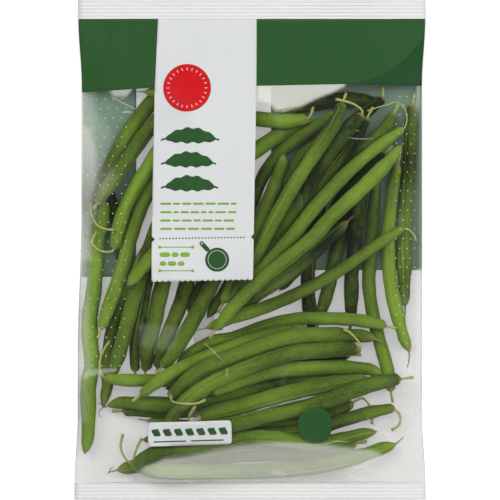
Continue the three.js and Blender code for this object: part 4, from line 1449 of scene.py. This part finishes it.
def inside(outline: Sequence[Point], x: float, y: float, margin: float) -> bool:
    """Whether a place lies inside an outline and clear of its sides.

    Args:
        outline: the closed outline.
        x: the place's X.
        y: the place's Y.
        margin: how far it stays from each side.

    Returns:
        True if it does.
    """
    corners = np.array(outline)
    after = np.roll(corners, -1, axis=0)
    run = after - corners
    t = ((x - corners[:, 0]) * run[:, 0] + (y - corners[:, 1]) * run[:, 1]) / (run**2).sum(1)
    near = corners + np.clip(t, 0, 1)[:, None] * run
    if np.hypot(near[:, 0] - x, near[:, 1] - y).min() < margin:
        return False
    crosses = (corners[:, 1] > y) != (after[:, 1] > y)
    steep = np.where(run[:, 1] == 0, 1e-9, run[:, 1])
    meets = corners[:, 0] + (y - corners[:, 1]) * run[:, 0] / steep
    return bool(np.count_nonzero(crosses & (meets > x)) % 2)


def on_circle(x: float, y: float, radius: float, angle: float) -> Point:
    """A place on a circle."""
    return x + radius * math.cos(angle), y + radius * math.sin(angle)


def disc(x: float, y: float, radius: float, sides: int = 48) -> list[Point]:
    """A round outline."""
    turns = np.linspace(0, 2 * math.pi, sides, endpoint=False)
    return [on_circle(x, y, radius, t) for t in turns]


def bar(start: Point, end: Point, width: float) -> list[Point]:
    """A straight stroke with round ends.

    Args:
        start: its first end.
        end: its other end.
        width: its breadth.

    Returns:
        The outline.
    """
    angle = math.atan2(end[1] - start[1], end[0] - start[0])
    half = width / 2
    turns = np.linspace(-math.pi / 2, math.pi / 2, 5)
    ends = ((end, half), (start, -half))
    return [on_circle(*place, reach, angle + t) for place, reach in ends for t in turns]


def rounded_box(left: float, low: float, right: float, high: float, radius: float) -> list[Point]:
    """A box with round corners, given by its sides."""
    middles = [
        (right - radius, high - radius, 0.0),
        (left + radius, high - radius, math.pi / 2),
        (left + radius, low + radius, math.pi),
        (right - radius, low + radius, 1.5 * math.pi),
    ]
    return [
        on_circle(x, y, radius, start + t)
        for x, y, start in middles
        for t in np.linspace(0, math.pi / 2, 6)
    ]


def turned(outline: Sequence[Point], centre: Point, degrees: float) -> list[Point]:
    """An outline turned about a point."""
    c, s = math.cos(math.radians(degrees)), math.sin(math.radians(degrees))
    cx, cy = centre
    return [(cx + (x - cx) * c - (y - cy) * s, cy + (x - cx) * s + (y - cy) * c) for x, y in outline]


def stroke(route: Sequence[Point], width: float) -> list[Point]:
    """A thin pointed stroke along a bent route.

    Args:
        route: its points.
        width: its greatest breadth.

    Returns:
        The outline.
    """
    line = np.array(route, float)
    at = distances(line)
    even = np.linspace(0, at[-1], max(4, int(at[-1] / 1.2)))
    places = np.column_stack([np.interp(even, at, line[:, k]) for k in (0, 1)])
    along = directions(places)
    side = np.column_stack([-along[:, 1], along[:, 0]])
    half = width / 2 * np.sqrt(np.clip(1 - (2 * even / at[-1] - 1) ** 2, 0.02, 1))[:, None]
    return [tuple(p) for p in np.vstack([places + side * half, (places - side * half)[::-1]]).tolist()]


@dataclass
class PodThreads:
    """The withered threads that curl away from a few pods' tips."""

    radius: float = 0.24
    sides: int = 8
    routes: tuple[tuple[int, tuple[Point, ...]], ...] = (
        (20, ((-74.8, -81.5), (-76.6, -81.0), (-78.3, -80.2), (-79.6, -79.5))),
        (20, (
            (-74.8, -81.7), (-76.8, -82.3), (-78.3, -83.4), (-79.0, -84.9), (-78.6, -86.4), (-77.2, -87.1),
        )),
        (28, ((-74.0, -115.0), (-73.2, -113.4), (-72.0, -111.8), (-70.8, -110.6))),
    )

    def build(self, lines: dict[int, BeanLine], thread: bpy.types.Material) -> bpy.types.Object:
        """Builds the threads as one mesh, each at the height of its pod's tip.

        Args:
            lines: the beans' lines by number.
            thread: the finish.

        Returns:
            The threads.
        """
        points: list[np.ndarray] = []
        faces: list[tuple[int, ...]] = []
        for number, route in self.routes:
            line = np.array(route, float)
            at = distances(line)
            even = np.linspace(0, at[-1], 16)
            plan = [np.interp(even, at, line[:, k]) for k in (0, 1)]
            height = float(lines[number].centres[-1][2]) + 0.06 * even
            radii = self.radius * (1 - 0.6 * even / at[-1])
            made_points, made_faces = rings(np.column_stack([*plan, height]), radii[:, None], self.sides)
            made_faces.append(tuple(range(self.sides)))
            made_faces.append(tuple(range(len(made_points) - 1, len(made_points) - self.sides - 1, -1)))
            base = sum(len(p) for p in points)
            points.append(made_points)
            faces += [tuple(base + k for k in face) for face in made_faces]
        return mesh_object("pod_threads", np.vstack(points), faces, thread)


@dataclass
class PrintedFront:
    """What is printed on the front: header bands, label panel with drawings, and two foot marks."""

    shape: FilmShape
    scallop: float = 3.0
    scallop_depth: float = 0.95
    foot_width: float = 52.5
    badge_at: Point = (-32.7, 84.2)
    pan_at: Point = (-17.0, -5.0)
    plate_at: Point = (-31.2, -94.4)
    plate_turn: float = 1.6

    def sheet(self, name: str, layer: int = 0, step: float = 1.6) -> PrintedSheet:
        """A printed piece on the front film, above the layers that it is printed over."""
        return PrintedSheet(name, self.shape.height, INK_LIFT + 0.18 * layer, step)

    def build(self, inks: dict[str, bpy.types.Material]) -> list[bpy.types.Object]:
        """Builds all front prints.

        Args:
            inks: the inks by name.

        Returns:
            The printed pieces.
        """
        prints = (
            (self.header_left, "green"),
            (self.header_right, "green"),
            (self.header_shade, "painted_shade"),
            (self.label, "white"),
            (self.badge, "red"),
            (self.badge_ring, "white"),
            (self.pods, "green"),
            (self.lines, "leaf"),
            (self.notes, "leaf"),
            (self.dotted_rule, "green"),
            (self.pan, "green"),
            (self.pan_ring, "white"),
            (self.plate, "white"),
            (self.plate_leaves, "green"),
            (self.foot_disc, "green"),
        )
        return [sheet().build(inks[ink]) for sheet, ink in prints]

    def header_left(self) -> PrintedSheet:
        """The dark band left of the label."""
        side = [(-half_width(y) + 0.25, y) for y in np.linspace(82.2, 119.9, 12)]
        return self.sheet("header_band_left").add([*side, (-48.0, 119.9), (-49.6, 84.5)])

    def header_right(self) -> PrintedSheet:
        """The dark band right of the label."""
        side = [(half_width(y) - 0.25, y) for y in np.linspace(119.9, 85.6, 12)]
        return self.sheet("header_band_right").add([(3.4, 85.3), (3.6, 119.9), *side, (52.0, 86.3)])

    def header_shade(self) -> PrintedSheet:
        """Painted shade: a deeper green over the right band's lower corner, where the film turns away from
        the lights.
        """
        side = [(half_width(y) - 0.3, y) for y in np.linspace(110.4, 85.8, 10)]
        bow = [(56.0, 87.2), (64.0, 89.2), (71.0, 92.2), (77.5, 96.2), (83.0, 101.2), (87.3, 106.2)]
        return self.sheet("header_band_shade", 1).add([*bow, *side, (53.0, 86.4)])

    def label(self) -> PrintedSheet:
        """The off-white panel with side notches and a scalloped foot."""
        count = round(self.foot_width / self.scallop)
        foot = []
        for k in range(count):
            for t in np.linspace(0, math.pi, 7)[:-1]:
                share = (k + (1 - math.cos(t)) / 2) / count
                x = 1.5 - share * self.foot_width
                foot.append((x, -14.6 - 1.1 * share - self.scallop_depth * math.sin(t)))
        outline = [(-48.0, 119.9), (3.4, 119.9), (3.3, 85.0), (2.5, 40.0), (2.0, 10.0)]
        outline += [(2.0, 8.3), (0.5, 6.8), (1.9, 5.3)]
        outline += foot
        outline += [(-51.0, -15.7), (-51.0, 4.0), (-49.4, 5.5), (-51.0, 7.0), (-50.5, 40.0), (-49.7, 83.0)]
        return self.sheet("label_panel", 1, 1.1).add(outline)

    def badge(self) -> PrintedSheet:
        """A plain round seal of colour at the label's head."""
        return self.sheet("label_badge", 2, 1.1).add(disc(*self.badge_at, 12.4, 72))

    def badge_ring(self) -> PrintedSheet:
        """Short strokes in a circle on the seal of colour."""
        sheet = self.sheet("label_badge_ring", 3)
        for k in range(24):
            inner, outer = (on_circle(*self.badge_at, radius, 2 * math.pi * k / 24) for radius in (9.4, 10.4))
            sheet.add(bar(inner, outer, 0.45))
        return sheet

    def pods(self) -> PrintedSheet:
        """Three drawn pods, one below another."""
        sheet = self.sheet("label_pods", 2)
        for left, right, middle in ((-46.2, -16.0, 58.3), (-46.2, -17.6, 45.8), (-46.2, -16.6, 33.4)):
            sheet.add(self._pod((left, middle), (right, middle), 2.4))
        return sheet

    @staticmethod
    def _pod(start: Point, end: Point, lean: float) -> list[Point]:
        """The outline of a drawn pod with swellings, bent by a lean."""
        length = end[0] - start[0]
        upper, lower = [], []
        for t in np.linspace(0, 1, 49):
            bend = lean * (1 - (2 * t - 1) ** 2)
            body = 3.9 * math.sin(math.pi * min(1, max(0, (t - 0.08) / 0.86))) ** 0.5
            body *= 1 + 0.12 * math.sin(10 * math.pi * t)
            body = max(body, 0.45)
            x = start[0] + length * t
            upper.append((x, start[1] + bend - lean / 2 + body))
            lower.append((x, start[1] + bend - lean / 2 - body))
        return upper + lower[::-1]

    def lines(self) -> PrintedSheet:
        """Rows of plain strokes and two rules with round ends, in leaf green."""
        sheet = self.sheet("label_fine_print", 2)
        rows = (24.0, 19.6, 15.3, 11.0)
        self._strokes(sheet, SEED + 2, rows, (-46.0, -7.5), (1.6, 5.2), gap=2.0, width=1.05, room=1.5)
        for y in (1.5, -10.7):
            sheet.add(bar((-46.2, y), (-30.2, y), 0.45))
            for x in (-46.7, -29.6):
                sheet.add(disc(x, y, 0.75, 16))
        return sheet

    def dotted_rule(self) -> PrintedSheet:
        """A row of small dark dots between the notches."""
        sheet = self.sheet("label_dotted_rule", 2)
        for k in range(27):
            sheet.add(disc(-46.5 + 1.67 * k, 5.9 + 0.026 * k, 0.4, 10))
        return sheet

    def notes(self) -> PrintedSheet:
        """Two rows of plain broad strokes between the rules."""
        sheet = self.sheet("label_notes", 2)
        rows = (-2.4, -7.0)
        self._strokes(sheet, SEED + 3, rows, (-45.6, -31.0), (0.8, 3.2), gap=3.1, width=2.3, room=1.0)
        return sheet

    @staticmethod
    def _strokes(
        sheet: PrintedSheet,
        seed: int,
        rows: Sequence[float],
        span: Point,
        runs: Point,
        gap: float,
        width: float,
        room: float,
    ) -> None:
        """Adds rows of strokes of chance length.

        Args:
            sheet: the print that they go on.
            seed: the seed of their chance.
            rows: the rows' Y.
            span: where each row begins and ends.
            runs: a stroke's least and greatest length.
            gap: the space after a stroke.
            width: a stroke's breadth.
            room: the least room that another stroke begins in.
        """
        rng = np.random.default_rng(seed)
        for y in rows:
            x = span[0]
            while x < span[1] - room:
                run = float(rng.uniform(*runs))
                sheet.add(bar((x, y), (min(x + run, span[1]), y), width))
                x += run + gap

    def pan(self) -> PrintedSheet:
        """A drawn pan: a round dark field and its handle."""
        sheet = self.sheet("label_pan", 2).add(disc(*self.pan_at, 6.2))
        return sheet.add(bar((-22.0, 0.2), (-25.0, 3.4), 2.3))

    def pan_ring(self) -> PrintedSheet:
        """The pan's inner rim as a ring of strokes."""
        sheet = self.sheet("label_pan_ring", 3)
        sheet.add(disc(-24.9, 3.3, 0.5, 14))
        for k in range(20):
            start, end = (on_circle(*self.pan_at, 4.7, 2 * math.pi * (k + share) / 20) for share in (0, 0.55))
            sheet.add(bar(start, end, 0.35))
        return sheet

    def plate(self) -> PrintedSheet:
        """The small light plate near the foot."""
        box = rounded_box(-53.0, -100.4, -9.5, -88.6, 1.8)
        return self.sheet("foot_plate", 1).add(turned(box, self.plate_at, self.plate_turn))

    def plate_leaves(self) -> PrintedSheet:
        """A row of drawn leaves on the plate."""
        sheet = self.sheet("foot_plate_leaves", 2)
        for k in range(7):
            x = -48.6 + 5.8 * k
            leaf = [
                (x + 2.1 * t, -93.7 + side * 2.6 * math.sin(math.pi * (t + 1) / 2) ** 1.4 * (1 - 0.25 * t))
                for side, run in ((1, np.linspace(-1, 1, 9)), (-1, np.linspace(1, -1, 9)[1:-1]))
                for t in run
            ]
            sheet.add(turned(turned(leaf, (x, -93.7), 60), self.plate_at, self.plate_turn))
        for x in (-50.0, -30.5):
            rule = bar((x, -98.2), (x + 16.5, -98.2), 0.6)
            sheet.add(turned(rule, self.plate_at, self.plate_turn))
        return sheet

    def foot_disc(self) -> PrintedSheet:
        """The plain dark disc near the foot."""
        return self.sheet("foot_disc", 1).add(disc(33.8, -90.5, 9.0, 64))


@dataclass
class PrintedBack:
    """What is printed on the back: dark panels, seen from inside as a greyer green."""

    def build(self, inks: dict[str, bpy.types.Material]) -> list[bpy.types.Object]:
        """Builds both faces of both panels.

        Args:
            inks: the inks by name.

        Returns:
            The printed pieces.
        """
        made = []
        for name, outline in (("left", self.left()), ("right", self.right())):
            inner = PrintedSheet(f"back_panel_{name}_inner", back_height, 0.2, 3.0).add(outline)
            made.append(inner.build(inks["teal"]))
            outer = PrintedSheet(f"back_panel_{name}_outer", back_height, -0.06, 3.0).add(outline)
            made.append(outer.build(inks["green"], facing_up=False))
        return made

    @staticmethod
    def left() -> list[Point]:
        """The narrow panel beside the clear window."""
        side = [(-half_width(y) + 0.8, y) for y in np.linspace(-14.0, 119.0, 20)]
        return [*side, (-60.0, 119.0), (-60.0, -14.0)]

    @staticmethod
    def right() -> list[Point]:
        """The wide panel on the other side of it."""
        side = [(half_width(y) - 0.35, y) for y in np.linspace(119.0, -10.5, 20)]
        return [(11.0, -10.5), (11.0, 119.0), *side]


@dataclass
class Studio:
    """Camera, soft lights and a light table."""

    distance: float = PIXEL * PICTURE_PIXELS * LENS / SENSOR
    table: float = 1500.0

    def camera(self) -> None:
        """Looks straight down on the middle of the picture."""
        data = bpy.data.cameras.new("camera")
        data.lens, data.sensor_width = LENS, SENSOR
        data.clip_start, data.clip_end = 0.1, 20.0
        made = bpy.data.objects.new("camera", data)
        made.location = (0.0, SHIFT * MM, (self.distance + SHARP_PLANE) * MM)
        bpy.context.scene.collection.objects.link(made)
        bpy.context.scene.camera = made

    def lights(self) -> None:
        """Soft panels overhead and at the sides, polarised so that the film doesn't mirror them.

        Only the foot panel is mirrored, in the folds near the lower seal.
        """
        for name, place, size, power, polarised in (
            ("top_panel", (0.1, 0.25, 2.2), 1.5, 19.0, True),
            ("key_panel", (-1.35, 1.15, 1.7), 1.3, 22.0, True),
            ("side_panel", (1.5, 0.4, 1.2), 1.0, 13.0, True),
            ("foot_panel", (0.0, -1.25, 0.4), 0.7, 2.5, False),
        ):
            data = bpy.data.lights.new(name, "AREA")
            data.shape, data.size, data.energy = "SQUARE", size, power
            made = bpy.data.objects.new(name, data)
            made.location = place
            made.visible_glossy = not polarised
            made.rotation_euler = (-Vector(place)).to_track_quat("-Z", "Y").to_euler()
            bpy.context.scene.collection.objects.link(made)
        bpy.context.scene.view_settings.view_transform = "Standard"
        self.room()

    def room(self) -> None:
        """A pale room that is bright near the floor and dim overhead."""
        world = bpy.data.worlds.new("pale_room")
        world.use_nodes = True
        tree = world.node_tree
        tree.nodes.clear()
        direction = add_node(tree, "ShaderNodeTexCoord").outputs["Generated"]
        height = add_node(tree, "ShaderNodeSeparateXYZ", inputs={0: direction}).outputs["Z"]
        level = ranged(tree, height, 0.34, 0.07, 0.1, 0.85)
        above = ranged(tree, height, 0.15, 1.0, -0.06, 0.04)
        glow = {"Color": linear("F8FAFC"), "Strength": computed(tree, "MULTIPLY", level, above)}
        light = add_node(tree, "ShaderNodeBackground", inputs=glow)
        add_node(tree, "ShaderNodeOutputWorld", inputs={"Surface": light.outputs[0]})
        bpy.context.scene.world = world

    def floor(self, opal: bpy.types.Material) -> None:
        """A wide pale table under the bag, seen through the film; it neither lights nor mirrors."""
        corners = [(x * self.table, y * self.table, -0.15) for x, y in ((-1, -1), (1, -1), (1, 1), (-1, 1))]
        table = mesh_object("light_table", np.array(corners), [(0, 1, 2, 3)], opal)
        table.visible_diffuse = False
        table.visible_glossy = False


@dataclass(frozen=True)
class Settling:
    """How the filled bag really lies: drawn in on its upper left, and out at both ends."""

    inward: float = 1.9
    side_from: float = 48.0
    side_run: float = 40.0
    upper_from: float = -55.0
    upper_run: float = 75.0
    up: float = 0.8
    head_from: float = 85.0
    head_run: float = 40.0
    down: float = 1.8
    foot_from: float = 80.0
    foot_run: float = 38.0

    def apply(self, made: bpy.types.Object) -> None:
        """Moves a piece's points with the bag.

        Args:
            made: a piece of the bag, or a bean in it.
        """
        places = np.empty(3 * len(made.data.vertices), np.float32)
        made.data.vertices.foreach_get("co", places)
        places = places.reshape(-1, 3)
        x, y = places[:, 0] / MM, places[:, 1] / MM - SHIFT
        upper = smooth_step(np.clip((y - self.upper_from) / self.upper_run, 0, 1))
        left = np.clip((-x - self.side_from) / self.side_run, 0, 1)
        head = smooth_step(np.clip((y - self.head_from) / self.head_run, 0, 1))
        foot = smooth_step(np.clip((-y - self.foot_from) / self.foot_run, 0, 1))
        places[:, 0] += self.inward * MM * upper * left
        places[:, 1] += MM * (self.up * head - self.down * foot)
        made.data.vertices.foreach_set("co", places.ravel())
        made.data.update()


def keep(made: bpy.types.Object, slot: str) -> bpy.types.Object:
    """Lets a piece ride on the bag's body.

    Args:
        made: the piece.
        slot: a material slot of the record; not used.

    Returns:
        The piece.
    """
    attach(made, BODY)
    log.info("%s: %d faces", made.name, len(made.data.polygons))
    return made


def main() -> None:
    """Builds the beans, the bag and its print, and sets them in the studio."""
    logging.basicConfig(level=logging.INFO, format="%(name)s %(message)s")
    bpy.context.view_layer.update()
    pieces: list[bpy.types.Object] = []
    studio = Studio()
    studio.camera()
    studio.lights()
    studio.floor(LightTable().build())
    slots = {row["node"]: row["material_slot"] for row in frame["record"]["subparts"]}
    skin = BeanSkin().build()
    beans: list[GreenBean] = []
    for node in sorted(name for name in frame["nodes"] if name.startswith("bean_")):
        bean = GreenBean(int(node.split("_")[1]), BeanLine.of(frame["nodes"][node]))
        beans.append(bean)
        pieces.append(keep(bean.build(skin), slots[node]))
        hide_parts(node)
    lines = {bean.number: bean.line for bean in beans}
    pieces.append(keep(PodThreads().build(lines, DriedHair().build()), "bean_skin"))
    film = ClearFilm().build()
    inks = {
        "green": PrintedInk("header_green_ink", "2F5A2E").build(),
        "white": PrintedInk("label_white_ink", "E3E5E5", roughness=0.42, coat=0.1, mottle=0.015).build(),
        # painted shade: the darker green of the right band's shaded corner
        "painted_shade": PrintedInk("header_green_painted_shade", "24502A").build(),
        "red": PrintedInk("badge_red_ink", "DB141C").build(),
        "leaf": PrintedInk("leaf_green_ink", "86B83E").build(),
        "teal": PrintedInk("back_print_seen_inside", "7F9C88", roughness=0.5, coat=0.05).build(),
        "seal": PrintedInk("seal_white_ink", "F0F0EE", roughness=0.32, coat=0.2, mottle=0.01).build(),
        "rim": PrintedInk("stretched_film_rim", "F6F8F5", roughness=0.4, coat=0.0, mottle=0.02).build(),
    }
    shape = FilmShape(beans)
    bag = FilmBag(shape)
    tube = keep(bag.tube(film), "clear_film")
    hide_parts(FILM_NODE)
    pieces.append(tube)
    for name, start, end, depth in (
        ("upper_seal", SEAL_LINE - 0.2, TOP_END, 0.32),
        ("lower_seal", BOTTOM_END, -SEAL_LINE + 0.2, 0.16),
    ):
        pieces.append(keep(bag.crimp(name, start, end, depth, inks["seal"]), "print_white"))
    pieces.append(keep(bag.back_seam(film), "clear_film"))
    for name, corner, columns, rows, pitch in (
        ("air_holes_left", (-86.5, -60.0), 5, 29, (4.7, 4.95)),
        ("air_holes_right", (76.0, -103.0), 3, 38, (3.9, 4.95)),
    ):
        holes = bag.air_holes(name, corner, columns, rows, pitch, tube, inks["rim"])
        pieces.append(keep(holes, "clear_film"))
    creases = PrintedSheet("film_creases", shape.height, 0.06, 0.8)
    for width, route in CREASES:
        creases.add(stroke(route, width))
    pieces.append(keep(creases.build(CreaseStreakWhite().build()), "clear_film"))
    for made in PrintedFront(shape).build(inks) + PrintedBack().build(inks):
        slot = "print_green" if "green" in made.active_material.name else "print_white"
        pieces.append(keep(made, slot))
    for made in pieces:
        Settling().apply(made)


if __name__ == "__main__":
    main()
